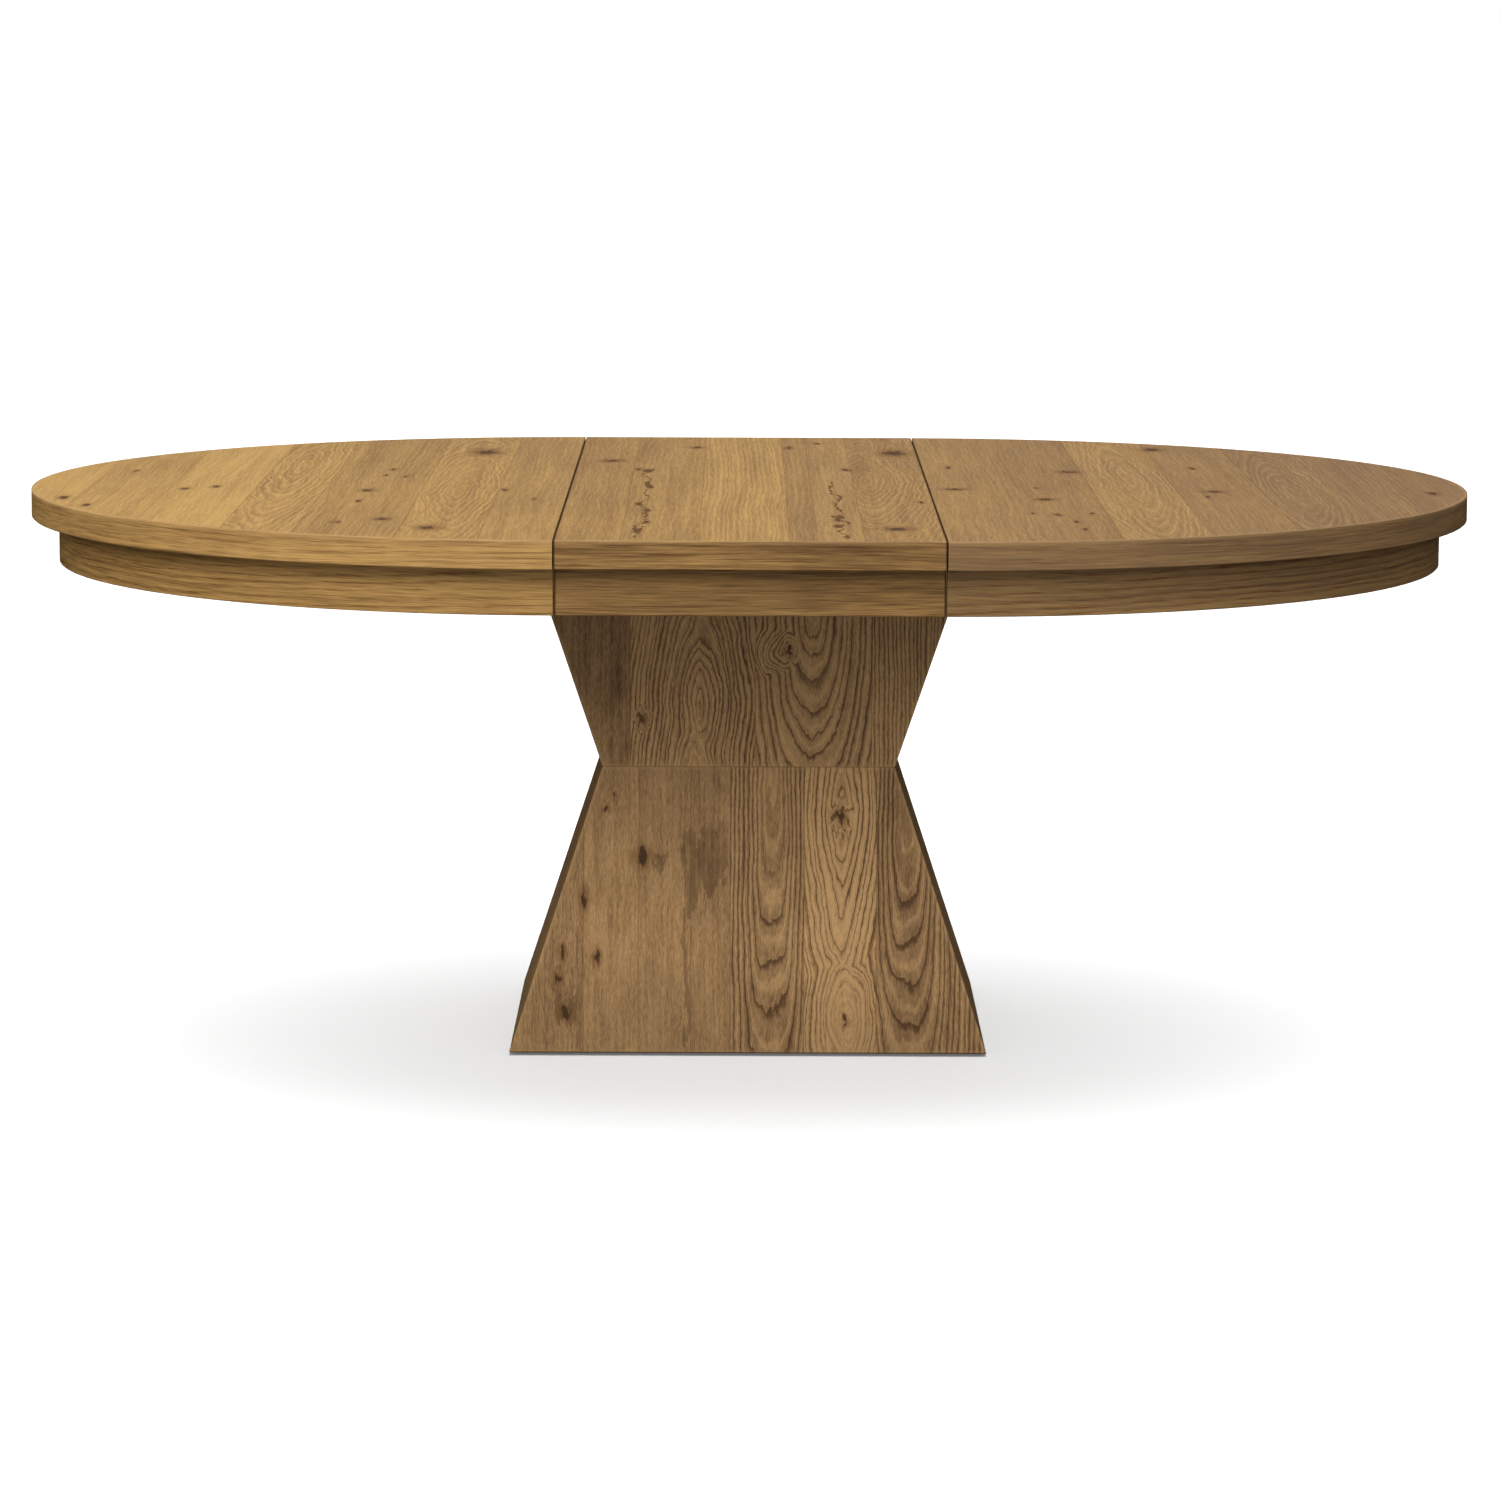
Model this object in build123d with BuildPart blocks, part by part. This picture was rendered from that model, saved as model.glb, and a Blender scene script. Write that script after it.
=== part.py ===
"""Oval extending dining table on an hourglass pedestal.

Two half-round top halves slide apart on hardwood runners, geared together by a rack on each half and one
gear on the pedestal, and a leaf with its own apron drops in between them.

Millimetres. X runs along the table, the way that it extends. Y runs from the front, -Y, to the back.
Z is up, and the origin is on the floor under the middle of the table. The leaf is in place.
"""

from build123d import *
from math import atan, cos, pi, radians, sin, sqrt, tan
import os

os.makedirs("parts", exist_ok=True)

# --- Top -------------------------------------------------------------------------------------------
TABLE_HEIGHT = 775
HALF_RADIUS = 762  # each half of the top is half of a 1524 mm disc
LEAF_WIDTH = 508
TOP_THICKNESS = 38
BAND = 3  # solid oak lipping round the rim
ARRIS = 1  # small bevel on the edges that show
SEAM_GAP = 1.6  # between a half and the leaf
LEAF_CLEARANCE = 0.4  # between the leaf and the runners that it lies over
APRON_SETBACK = 38
APRON_HEIGHT = 64
APRON_THICKNESS = 20

SEAM = LEAF_WIDTH / 2
UNDERSIDE = TABLE_HEIGHT - TOP_THICKNESS
LEAF_UNDERSIDE = UNDERSIDE + LEAF_CLEARANCE
CORE_RADIUS = HALF_RADIUS - BAND
APRON_OUTER = HALF_RADIUS - APRON_SETBACK
APRON_INNER = APRON_OUTER - APRON_THICKNESS
APRON_FOOT = UNDERSIDE - APRON_HEIGHT
HALF_EDGE = SEAM + SEAM_GAP / 2
LEAF_EDGE = SEAM - SEAM_GAP / 2
OPENING_TRAVEL = 60  # each half moves out this far past the leaf, to let it drop in

# --- Pedestal: two tapering boxes that meet at the waist ---------------------------------------------
RUNNER_SPACE = 48  # between the pedestal and the top
GLIDE_HEIGHT = 4
WAIST_Z = 399
CROWN_Z = UNDERSIDE - RUNNER_SPACE
BASE_SIZE = (666, 536)
WAIST_SIZE = (408, 412)
CROWN_SIZE = (598, 504)
WALL = 22  # wall thickness, measured level
BASE_BOARD = 18
WAIST_BOARD = 20
CROWN_BOARD = 25
ACCESS_HOLE = (180, 160)
BLOCK_LEG = 42  # corner blocks are right-angled triangles in plan
BLOCK_END_GAP = 6

# --- Runners --------------------------------------------------------------------------------------
FIXED_LENGTH = 800
FIXED_WIDTH = 40
FIXED_HEIGHT = 46
FIXED_OFFSET = 150  # middle of each fixed runner from the table's long axis
MOVING_WIDTH = 36
MOVING_HEIGHT = 42
MOVING_INNER_END = SEAM - 200
MOVING_OUTER_END = SEAM + 560
RUNNER_GAP = 1
GROOVE_DEPTH = 9
GROOVE_MOUTH = 6  # half of the groove's height at its mouth
GROOVE_SLOPE = 1 / 3
TONGUE_DEPTH = 8.6
TONGUE_MOUTH = 5.6
GROOVE_Z = CROWN_Z + 22
RUNNER_TIE = (45, 12)  # under the fixed runners, just past the pedestal
FIXED_TIE_X = 372
MOVING_TIE = (60, 16)
MOVING_TIE_X = SEAM + 496

# --- Rack and gear ----------------------------------------------------------------------------------
MODULE = 3
TEETH = 20
PRESSURE_ANGLE = radians(20)
BACKLASH = 0.3
PITCH_RADIUS = MODULE * TEETH / 2
RACK_PITCH_Y = PITCH_RADIUS + 0.1
RACK_BACK_Y = 46
RACK_Z = CROWN_Z + 8
RACK_THICKNESS = 10
RACK_OUTER_END = 450
GEAR_Z = CROWN_Z + 7
GEAR_THICKNESS = 12
PLATE = 3
BRACKET_HALF_LENGTH = 45
LIP_GAP = 0.5
STOP_START = BRACKET_HALF_LENGTH + OPENING_TRAVEL + 0.5
STOP_LENGTH = 12
STOP_REACH = 6
AXLE_RADIUS = 5
AXLE_TOP = CROWN_Z + 22

# --- Battens, blocks, pins and fasteners --------------------------------------------------------------
BATTEN = (60, 20)
OUTER_BATTEN_Y = 450
INNER_BATTEN = 30
INNER_BATTEN_Y = 250
APRON_BLOCK = (30, 46)
PIN_RADIUS = 5
PIN_Z = UNDERSIDE + 14
PIN_REACH = 18
PIN_DEPTH = 32
PIN_Y = (400, -250)  # seen from the middle of the table, looking out to the half that holds them
SLOT_RADIUS = 5.5
SLOT_DEPTH = 21
SCREW_RADIUS = 2.5
SCREW_HEAD_RADIUS = 5
SCREW_HEAD = 2.5
SUNK_HEAD = SCREW_HEAD + 0.3  # counterbore that takes a pan head below the surface
SCREW_BITE = 12  # how far a screw reaches into the piece it holds to
DEEP_BITE = 16
DRILL = 0.05  # how far a hole's wall stands off its screw, bolt or axle
BOLT_RADIUS = 4
BOLT_HEAD_RADIUS = 7.5
BOLT_HEAD = 5.3
BOLT_CLEARANCE = 0.2
INSERT_RADIUS = 6
INSERT_LENGTH = 18
GLIDE_RADIUS = 16
GLIDE_XY = (285, 220)


def save(piece, label):
    """Labels a finished piece and writes its STEP file."""
    piece.part.label = label
    export_step(piece.part, f"parts/{label}.step")


def both_signs(x, y):
    """The four points at plus and minus x and y."""
    return [(sx * x, sy * y) for sx in (-1, 1) for sy in (-1, 1)]


def half_frame(side, z=0):
    """Level plane at height z whose X points out to the left half (-1) or the right half (1)."""
    return Plane(origin=(0, 0, z), x_dir=(side, 0, 0), z_dir=(0, 0, 1))


def cross_frame(side, x):
    """Upright plane across the table, x out from the middle, whose normal points out to that half."""
    return Plane(origin=(side * x, 0, 0), x_dir=(0, side, 0), z_dir=(side, 0, 0))


def upward(frame, points, z):
    """Places on a half's frame from which a hole is drilled, or a screw driven, straight up."""
    return [Plane(frame.from_local_coords((x, y, z)), z_dir=(0, 0, -1)) for x, y in points]


def screw_holes(places, counterbore, depth):
    """Cuts a counterbored screw hole into the part being built, at each place."""
    with Locations(*places):
        CounterBoreHole(SCREW_RADIUS + DRILL, SCREW_HEAD_RADIUS + 0.5, counterbore, depth)


def pilot_holes(places, depth):
    """Cuts a blind screw hole into the part being built, at each place."""
    with Locations(*places):
        Hole(SCREW_RADIUS + DRILL, depth)


def screws(label, groups):
    """Pan-headed screws as separate solids. Each group is (places, head depth below the place, length)."""
    with BuildPart() as piece:
        for places, sunk, length in groups:
            for place in places:
                seat = place.offset(-sunk)
                with BuildSketch(seat.offset(-length)):
                    Circle(SCREW_RADIUS)
                extrude(amount=length)
                with BuildSketch(seat):
                    Circle(SCREW_HEAD_RADIUS)
                extrude(amount=SCREW_HEAD)
    save(piece, label)


# --- Pedestal ------------------------------------------------------------------------------------------

LOWER_BOX = ((GLIDE_HEIGHT, BASE_SIZE), (WAIST_Z, WAIST_SIZE))
UPPER_BOX = ((WAIST_Z, WAIST_SIZE), (CROWN_Z, CROWN_SIZE))


def box_half_size(box, z, inset):
    """Half of a tapering box's width and depth at height z, less an inset."""
    (z0, size0), (z1, size1) = box
    share = (z - z0) / (z1 - z0)
    return [(a + (b - a) * share) / 2 - inset for a, b in zip(size0, size1)]


def box_section(box, z, outline):
    """The outline at height z, given as a function of the box's inner half-width and half-depth there."""
    with BuildSketch(Plane.XY.offset(z)) as section:
        with BuildLine():
            Polyline(*outline(*box_half_size(box, z, WALL)), close=True)
        make_face()
    return section.sketch


def tapering(box, z_low, z_high, outline):
    """Lofts an outline up the box, into the part being built."""
    loft([box_section(box, z, outline) for z in (z_low, z_high)], ruled=True)


def pedestal_wall(label, box, side):
    """One of a box's four mitred boards. Its outline is the strip between the outer and inner corners."""

    def outline(a, b):
        corners = [(-1, -1), (1, -1), (1, 1), (-1, 1)]
        first, last = corners[side], corners[(side + 1) % 4]
        outer = [(sx * (a + WALL), sy * (b + WALL)) for sx, sy in (first, last)]
        inner = [(sx * a, sy * b) for sx, sy in (last, first)]
        return outer + inner

    with BuildPart() as wall:
        tapering(box, box[0][0], box[1][0], outline)
        levels = wall.edges().group_by(Axis.Z)
        chamfer([level.sort_by(SortBy.LENGTH)[-1] for level in (levels[0], levels[-1])], ARRIS)
    save(wall, label)


def rectangle_outline(a, b):
    """The inside of a box."""
    return [(-a, -b), (a, -b), (a, b), (-a, b)]


def corner_blocks(label, box, z_low, z_high):
    """Four triangular glue blocks up a box's inner corners, between the boards at z_low and z_high."""
    with BuildPart() as blocks:
        for sx, sy in both_signs(1, 1):
            tapering(
                box,
                z_low + BLOCK_END_GAP,
                z_high - BLOCK_END_GAP,
                lambda a, b: [
                    (sx * a, sy * b),
                    (sx * (a - BLOCK_LEG), sy * b),
                    (sx * a, sy * (b - BLOCK_LEG)),
                ],
            )
    save(blocks, label)


for number, side_name in enumerate(("front", "right", "back", "left")):
    pedestal_wall(f"lower_{side_name}_panel", LOWER_BOX, number)
    pedestal_wall(f"upper_{side_name}_panel", UPPER_BOX, number)

BASE_TOP = GLIDE_HEIGHT + BASE_BOARD
CROWN_FOOT = CROWN_Z - CROWN_BOARD
corner_blocks("lower_corner_blocks", LOWER_BOX, BASE_TOP, WAIST_Z - WAIST_BOARD)
corner_blocks("upper_corner_blocks", UPPER_BOX, WAIST_Z + WAIST_BOARD, CROWN_FOOT)

glide_points = both_signs(*GLIDE_XY)
glide_places = upward(Plane.XY, glide_points, GLIDE_HEIGHT)
GLIDE_SCREW = 14

with BuildPart() as base_board:
    tapering(LOWER_BOX, GLIDE_HEIGHT, BASE_TOP, rectangle_outline)
    with BuildSketch(Plane.XY.offset(GLIDE_HEIGHT)):
        RectangleRounded(*ACCESS_HOLE, 20)
    extrude(amount=BASE_BOARD, mode=Mode.SUBTRACT)
    pilot_holes(glide_places, GLIDE_SCREW)
save(base_board, "base_board")

with BuildPart() as floor_glides:
    with BuildSketch():
        with Locations(*glide_points):
            Circle(GLIDE_RADIUS)
    extrude(amount=GLIDE_HEIGHT)
    screw_holes(upward(Plane.XY, glide_points, 0), SUNK_HEAD, GLIDE_HEIGHT)
save(floor_glides, "floor_glides")
screws("glide_screws", [(upward(Plane.XY, glide_points, 0), SUNK_HEAD, GLIDE_SCREW)])

waist_bolt_points = both_signs(110, 110)

with BuildPart() as lower_waist_board:
    tapering(LOWER_BOX, WAIST_Z - WAIST_BOARD, WAIST_Z, rectangle_outline)
    with Locations(*[(x, y, WAIST_Z) for x, y in waist_bolt_points]):
        Hole(BOLT_RADIUS + BOLT_CLEARANCE, WAIST_BOARD)
save(lower_waist_board, "lower_waist_board")

with BuildPart() as upper_waist_board:
    tapering(UPPER_BOX, WAIST_Z, WAIST_Z + WAIST_BOARD, rectangle_outline)
    with Locations(*[(x, y, WAIST_Z + WAIST_BOARD) for x, y in waist_bolt_points]):
        Hole(BOLT_RADIUS + BOLT_CLEARANCE, WAIST_BOARD)
save(upper_waist_board, "upper_waist_board")


def hexagons(points, z, height, bore=0.0):
    """Hexagonal heads or nuts standing on height z, inside the part being built."""
    with BuildSketch(Plane.XY.offset(z)) as heads:
        with Locations(*points):
            RegularPolygon(BOLT_HEAD_RADIUS, 6)
            if bore:
                Circle(bore, mode=Mode.SUBTRACT)
    extrude(heads.sketch, amount=height)


def shanks(points, z, length):
    """Bolt shanks standing on height z, inside the part being built."""
    with BuildSketch(Plane.XY.offset(z)) as rounds:
        with Locations(*points):
            Circle(BOLT_RADIUS)
    extrude(rounds.sketch, amount=length)


NUT_HEIGHT = 6.5
with BuildPart() as waist_bolts:
    shanks(waist_bolt_points, WAIST_Z - WAIST_BOARD, 2 * WAIST_BOARD + NUT_HEIGHT + 2)
    hexagons(waist_bolt_points, WAIST_Z - WAIST_BOARD - BOLT_HEAD, BOLT_HEAD)
save(waist_bolts, "waist_bolts")

with BuildPart() as waist_nuts:
    hexagons(waist_bolt_points, WAIST_Z + WAIST_BOARD, NUT_HEIGHT, bore=BOLT_RADIUS + DRILL)
save(waist_nuts, "waist_nuts")

runner_bolt_points = [(x, y * FIXED_OFFSET) for x in (-220, -80, 80, 220) for y in (-1, 1)]
BRACKET_SCREWS = both_signs(35, 38)
BRACKET_SCREW = 16

with BuildPart() as crown_board:
    tapering(UPPER_BOX, CROWN_FOOT, CROWN_Z, rectangle_outline)
    with Locations(*[(x, y, CROWN_Z) for x, y in runner_bolt_points]):
        Hole(INSERT_RADIUS + DRILL, INSERT_LENGTH)
    pilot_holes([Plane((x, y, CROWN_Z)) for x, y in BRACKET_SCREWS], BRACKET_SCREW)
save(crown_board, "crown_board")

with BuildPart() as bolt_inserts:
    with BuildSketch(Plane.XY.offset(CROWN_Z - INSERT_LENGTH)):
        with Locations(*runner_bolt_points):
            Circle(INSERT_RADIUS)
            Circle(BOLT_RADIUS + DRILL, mode=Mode.SUBTRACT)
    extrude(amount=INSERT_LENGTH)
save(bolt_inserts, "bolt_inserts")

# --- Fixed runners ------------------------------------------------------------------------------------

BOLT_SEAT = CROWN_Z + 34  # the bolt heads bear here, inside the runner
TIE_SCREW = 20
tie_screw_points = [(sx * FIXED_TIE_X, sy * FIXED_OFFSET) for sx in (-1, 1) for sy in (-1, 1)]


def fixed_runner(label, y_sign):
    """A hardwood bar with a dovetail groove along each side, bolted to the pedestal's crown board."""
    half = FIXED_WIDTH / 2
    bottom_half = GROOVE_MOUTH + GROOVE_DEPTH * GROOVE_SLOPE
    with BuildPart() as runner:
        with BuildSketch(Plane.YZ.offset(-FIXED_LENGTH / 2)):
            with Locations((y_sign * FIXED_OFFSET, CROWN_Z + FIXED_HEIGHT / 2)):
                Rectangle(FIXED_WIDTH, FIXED_HEIGHT)
            for side in (-1, 1):
                with BuildLine():
                    Polyline(
                        *[
                            (y_sign * FIXED_OFFSET + side * y, GROOVE_Z + z)
                            for y, z in (
                                (half, GROOVE_MOUTH),
                                (half - GROOVE_DEPTH, bottom_half),
                                (half - GROOVE_DEPTH, -bottom_half),
                                (half, -GROOVE_MOUTH),
                            )
                        ],
                        close=True,
                    )
                make_face(mode=Mode.SUBTRACT)
        extrude(amount=FIXED_LENGTH)
        runner_top = CROWN_Z + FIXED_HEIGHT
        with Locations(*[(x, y, runner_top) for x, y in runner_bolt_points if y * y_sign > 0]):
            CounterBoreHole(
                BOLT_RADIUS + BOLT_CLEARANCE, BOLT_HEAD_RADIUS + 1, runner_top - BOLT_SEAT, FIXED_HEIGHT
            )
        tie_ends = [p for p in tie_screw_points if p[1] * y_sign > 0]
        pilot_holes(upward(Plane.XY, tie_ends, CROWN_Z), SCREW_BITE)
    save(runner, label)


fixed_runner("fixed_runner_front", -1)
fixed_runner("fixed_runner_back", 1)

with BuildPart() as runner_bolts:
    shanks(runner_bolt_points, CROWN_Z - INSERT_LENGTH + 2, BOLT_SEAT - CROWN_Z + INSERT_LENGTH - 2)
    hexagons(runner_bolt_points, BOLT_SEAT, BOLT_HEAD)
save(runner_bolts, "runner_bolts")

for label, sign in (("runner_tie_left", -1), ("runner_tie_right", 1)):
    with BuildPart() as tie:
        with BuildSketch(Plane.XY.offset(CROWN_Z - RUNNER_TIE[1])):
            with Locations((sign * FIXED_TIE_X, 0)):
                Rectangle(RUNNER_TIE[0], 2 * FIXED_OFFSET + FIXED_WIDTH)
        extrude(amount=RUNNER_TIE[1])
        tie_ends = [p for p in tie_screw_points if p[0] * sign > 0]
        screw_holes(upward(Plane.XY, tie_ends, CROWN_Z - RUNNER_TIE[1]), SUNK_HEAD, RUNNER_TIE[1])
    save(tie, label)
tie_screw_places = upward(Plane.XY, tie_screw_points, CROWN_Z - RUNNER_TIE[1])
screws("tie_screws", [(tie_screw_places, SUNK_HEAD, TIE_SCREW)])

# --- Gear and its bracket -----------------------------------------------------------------------------

LIP_INNER = RACK_BACK_Y + LIP_GAP

with BuildPart() as gear_bracket:
    with BuildSketch(Plane.YZ.offset(-BRACKET_HALF_LENGTH)):
        with Locations((0, CROWN_Z)):
            Rectangle(2 * (LIP_INNER + PLATE), PLATE, align=(Align.CENTER, Align.MIN))
        with Locations((-LIP_INNER - PLATE / 2, CROWN_Z), (LIP_INNER + PLATE / 2, CROWN_Z)):
            Rectangle(PLATE, RACK_Z + RACK_THICKNESS - CROWN_Z, align=(Align.CENTER, Align.MIN))
    extrude(amount=2 * BRACKET_HALF_LENGTH)
    with BuildSketch(Plane.XY.offset(CROWN_Z)):
        Circle(AXLE_RADIUS + 4)
    extrude(amount=GEAR_Z - 0.5 - CROWN_Z)
    with Locations((0, 0, GEAR_Z)):
        Hole(AXLE_RADIUS + DRILL, GEAR_Z - CROWN_Z)
    with Locations(*[(x, y, CROWN_Z + PLATE) for x, y in BRACKET_SCREWS]):
        Hole(SCREW_RADIUS + DRILL, PLATE)
save(gear_bracket, "gear_bracket")

with BuildPart() as gear_axle:
    with BuildSketch(Plane.XY.offset(CROWN_Z)):
        Circle(AXLE_RADIUS)
    extrude(amount=AXLE_TOP - CROWN_Z)
    with BuildSketch(Plane.XY.offset(GEAR_Z + GEAR_THICKNESS + 0.5)):
        Circle(AXLE_RADIUS + 4)
    extrude(amount=AXLE_TOP - GEAR_Z - GEAR_THICKNESS - 0.5)
    fillet(gear_axle.edges().group_by(Axis.Z)[-1], 1)
save(gear_axle, "gear_axle")
screws("bracket_screws", [([Plane((x, y, CROWN_Z + PLATE)) for x, y in BRACKET_SCREWS], 0, BRACKET_SCREW)])


def involute_flank(points=6):
    """(radius, angle from the tooth's middle) pairs up one flank, from the base circle to the tip."""
    base_radius = PITCH_RADIUS * cos(PRESSURE_ANGLE)
    tip_radius = PITCH_RADIUS + MODULE
    pitch_roll = tan(PRESSURE_ANGLE)
    half_tooth = (pi * MODULE - BACKLASH) / 4 / PITCH_RADIUS
    at_pitch = pitch_roll - atan(pitch_roll)
    last_roll = sqrt((tip_radius / base_radius) ** 2 - 1)
    flank = []
    for i in range(points):
        roll = last_roll * i / (points - 1)
        flank.append((base_radius * sqrt(1 + roll * roll), half_tooth + at_pitch - (roll - atan(roll))))
    return flank


def gear_outline():
    """The gear's corners, with one tooth pointing straight to the front."""
    root = (PITCH_RADIUS - 1.25 * MODULE, involute_flank()[0][1])
    rising = [root] + involute_flank()
    corners = []
    for tooth in range(TEETH):
        middle = -pi / 2 + 2 * pi * tooth / TEETH
        corners += [(r * cos(middle - turn), r * sin(middle - turn)) for r, turn in rising]
        corners += [(r * cos(middle + turn), r * sin(middle + turn)) for r, turn in reversed(rising)]
    return corners


with BuildPart() as equalizer_gear:
    with BuildSketch(Plane.XY.offset(GEAR_Z)):
        with BuildLine():
            Polyline(*gear_outline(), close=True)
        make_face()
        Circle(AXLE_RADIUS + 0.08, mode=Mode.SUBTRACT)
        with PolarLocations(PITCH_RADIUS * 0.53, 5, start_angle=36):
            Circle(4.5, mode=Mode.SUBTRACT)
    extrude(amount=GEAR_THICKNESS)
save(equalizer_gear, "equalizer_gear")

# --- The two halves, each drawn on its own frame, X pointing out ------------------------------------------


def half_disc(radius, hole=0.0):
    """Sketches a half disc, or a half ring, that ends at the half's straight edge."""
    with Locations((SEAM, 0)):
        Circle(radius)
        if hole:
            Circle(hole, mode=Mode.SUBTRACT)
    with Locations((HALF_EDGE, 0)):
        Rectangle(radius, 2 * radius, align=(Align.MIN, Align.CENTER), mode=Mode.INTERSECT)


def pin_slots(side, x, inward, y_values):
    """Cuts the downward-open slots that drop over the other piece's pins, from x back into this piece."""
    with BuildSketch(cross_frame(side, x)) as slots:
        with Locations(*[(y, PIN_Z) for y in y_values]):
            Circle(SLOT_RADIUS)
            Rectangle(2 * SLOT_RADIUS, PIN_Z - UNDERSIDE + 1, align=(Align.CENTER, Align.MAX))
    extrude(slots.sketch, amount=inward, mode=Mode.SUBTRACT)


outer_batten_span = (SEAM + 36, SEAM + 500)
inner_batten_span = (SEAM + 36, SEAM + 590)
outer_screw_x = (SEAM + 80, SEAM + 260, SEAM + 440)
inner_screw_x = (SEAM + 80, SEAM + 300, SEAM + 520)
batten_screw_points = [(x, y) for x in outer_screw_x for y in (-OUTER_BATTEN_Y, OUTER_BATTEN_Y)]
batten_screw_points += [(x, y) for x in inner_screw_x for y in (-INNER_BATTEN_Y, INNER_BATTEN_Y)]
RACK_SCREW_Y = (MODULE * 1.25 + RACK_PITCH_Y + RACK_BACK_Y) / 2
rack_screw_points = [(RACK_OUTER_END - 130, RACK_SCREW_Y), (RACK_OUTER_END - 30, RACK_SCREW_Y)]
tie_points = [(MOVING_TIE_X, -55), (MOVING_TIE_X, 55)]
RUNNER_COUNTERBORE = 12
RACK_BLOCK_X = (SEAM + 36, RACK_OUTER_END)
INTO_TOP = 18


def ease_apron(apron, upper_edge):
    """Bevels all of an apron's edges but those of its upper face, at height upper_edge."""
    chamfer(apron.edges().filter_by(lambda edge: edge.center().Z < upper_edge - ARRIS), ARRIS)


def half_top(name, side, runner_points):
    """The half-round panel, with its pin holes, pin slots and screw holes."""
    frame = half_frame(side)
    with BuildPart() as top:
        with BuildSketch(half_frame(side, UNDERSIDE)):
            half_disc(CORE_RADIUS)
        extrude(amount=TOP_THICKNESS)
        seam_edge = top.edges().group_by(Axis.Z)[-1].filter_by(Axis.Y)
        chamfer(seam_edge, ARRIS)
        with BuildSketch(cross_frame(side, HALF_EDGE)):
            with Locations(*[(y, PIN_Z) for y in PIN_Y]):
                Circle(PIN_RADIUS + DRILL)
        extrude(amount=PIN_DEPTH - SEAM_GAP / 2, mode=Mode.SUBTRACT)
        pin_slots(side, HALF_EDGE, SLOT_DEPTH, [-y for y in PIN_Y])
        pilot_holes(upward(frame, runner_points + batten_screw_points, UNDERSIDE), INTO_TOP)
        pilot_holes(upward(frame, rack_screw_points + tie_points, UNDERSIDE), INTO_TOP)
    save(top, f"{name}_top")


def half_edge_band(name, side):
    """Thin solid lipping round the half's curved rim."""
    with BuildPart() as band:
        with BuildSketch(half_frame(side, UNDERSIDE)):
            half_disc(HALF_RADIUS, hole=CORE_RADIUS)
        extrude(amount=TOP_THICKNESS)
        outer = [e for e in band.edges().filter_by(GeomType.CIRCLE) if e.radius > CORE_RADIUS + BAND / 2]
        chamfer(outer, ARRIS)
    save(band, f"{name}_edge_band")


def half_apron(name, side):
    """The laminated half ring under the rim, and the blocks that glue it to the top."""
    with BuildPart() as apron:
        with BuildSketch(half_frame(side, APRON_FOOT)):
            half_disc(APRON_OUTER, hole=APRON_INNER)
        extrude(amount=APRON_HEIGHT)
        ease_apron(apron, UNDERSIDE)
    save(apron, f"{name}_apron")
    block_ring = APRON_INNER - APRON_BLOCK[0] / 2
    with BuildPart() as blocks:
        with BuildSketch(half_frame(side, UNDERSIDE - APRON_BLOCK[1])):
            with Locations((SEAM, 0)):
                with PolarLocations(block_ring, 7, start_angle=-84, angular_range=168, endpoint=True):
                    Rectangle(APRON_BLOCK[0] + 8, 60)
                Circle(APRON_INNER, mode=Mode.INTERSECT)
        extrude(amount=APRON_BLOCK[1])
    save(blocks, f"{name}_apron_blocks")


def moving_runner(label, side, face, direction, y_sign, screw_x):
    """A hardwood bar with a dovetail tongue. The fixed runner's side is at y = face, and this one lies
    beyond it (direction 1) or inside it (-1)."""
    near = face + direction * RUNNER_GAP
    far = near + direction * MOVING_WIDTH
    tip = face - direction * TONGUE_DEPTH
    bottom, top = UNDERSIDE - MOVING_HEIGHT, UNDERSIDE
    root_half = TONGUE_MOUTH - RUNNER_GAP * GROOVE_SLOPE
    tip_half = TONGUE_MOUTH + TONGUE_DEPTH * GROOVE_SLOPE
    profile = [
        (near, bottom),
        (far, bottom),
        (far, top),
        (near, top),
        (near, GROOVE_Z + root_half),
        (tip, GROOVE_Z + tip_half),
        (tip, GROOVE_Z - tip_half),
        (near, GROOVE_Z - root_half),
    ]
    middle = y_sign * (near + far) / 2
    with BuildPart() as runner:
        with BuildSketch(cross_frame(side, MOVING_INNER_END)):
            with BuildLine():
                Polyline(*[(y_sign * y, z) for y, z in profile], close=True)
            make_face()
        extrude(amount=MOVING_OUTER_END - MOVING_INNER_END)
        places = upward(half_frame(side), [(x, middle) for x in screw_x], bottom)
        screw_holes(places, RUNNER_COUNTERBORE, MOVING_HEIGHT)
    save(runner, label)


def runner_tie(label, side, reach):
    """Joins a half's two runners near their outer ends."""
    width, thickness = MOVING_TIE
    with BuildPart() as tie:
        with BuildSketch(half_frame(side, UNDERSIDE - thickness)):
            with Locations((MOVING_TIE_X, 0)):
                Rectangle(width, 2 * reach)
        extrude(amount=thickness)
        places = upward(half_frame(side), tie_points, UNDERSIDE - thickness)
        screw_holes(places, SUNK_HEAD, thickness)
    save(tie, label)


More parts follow.
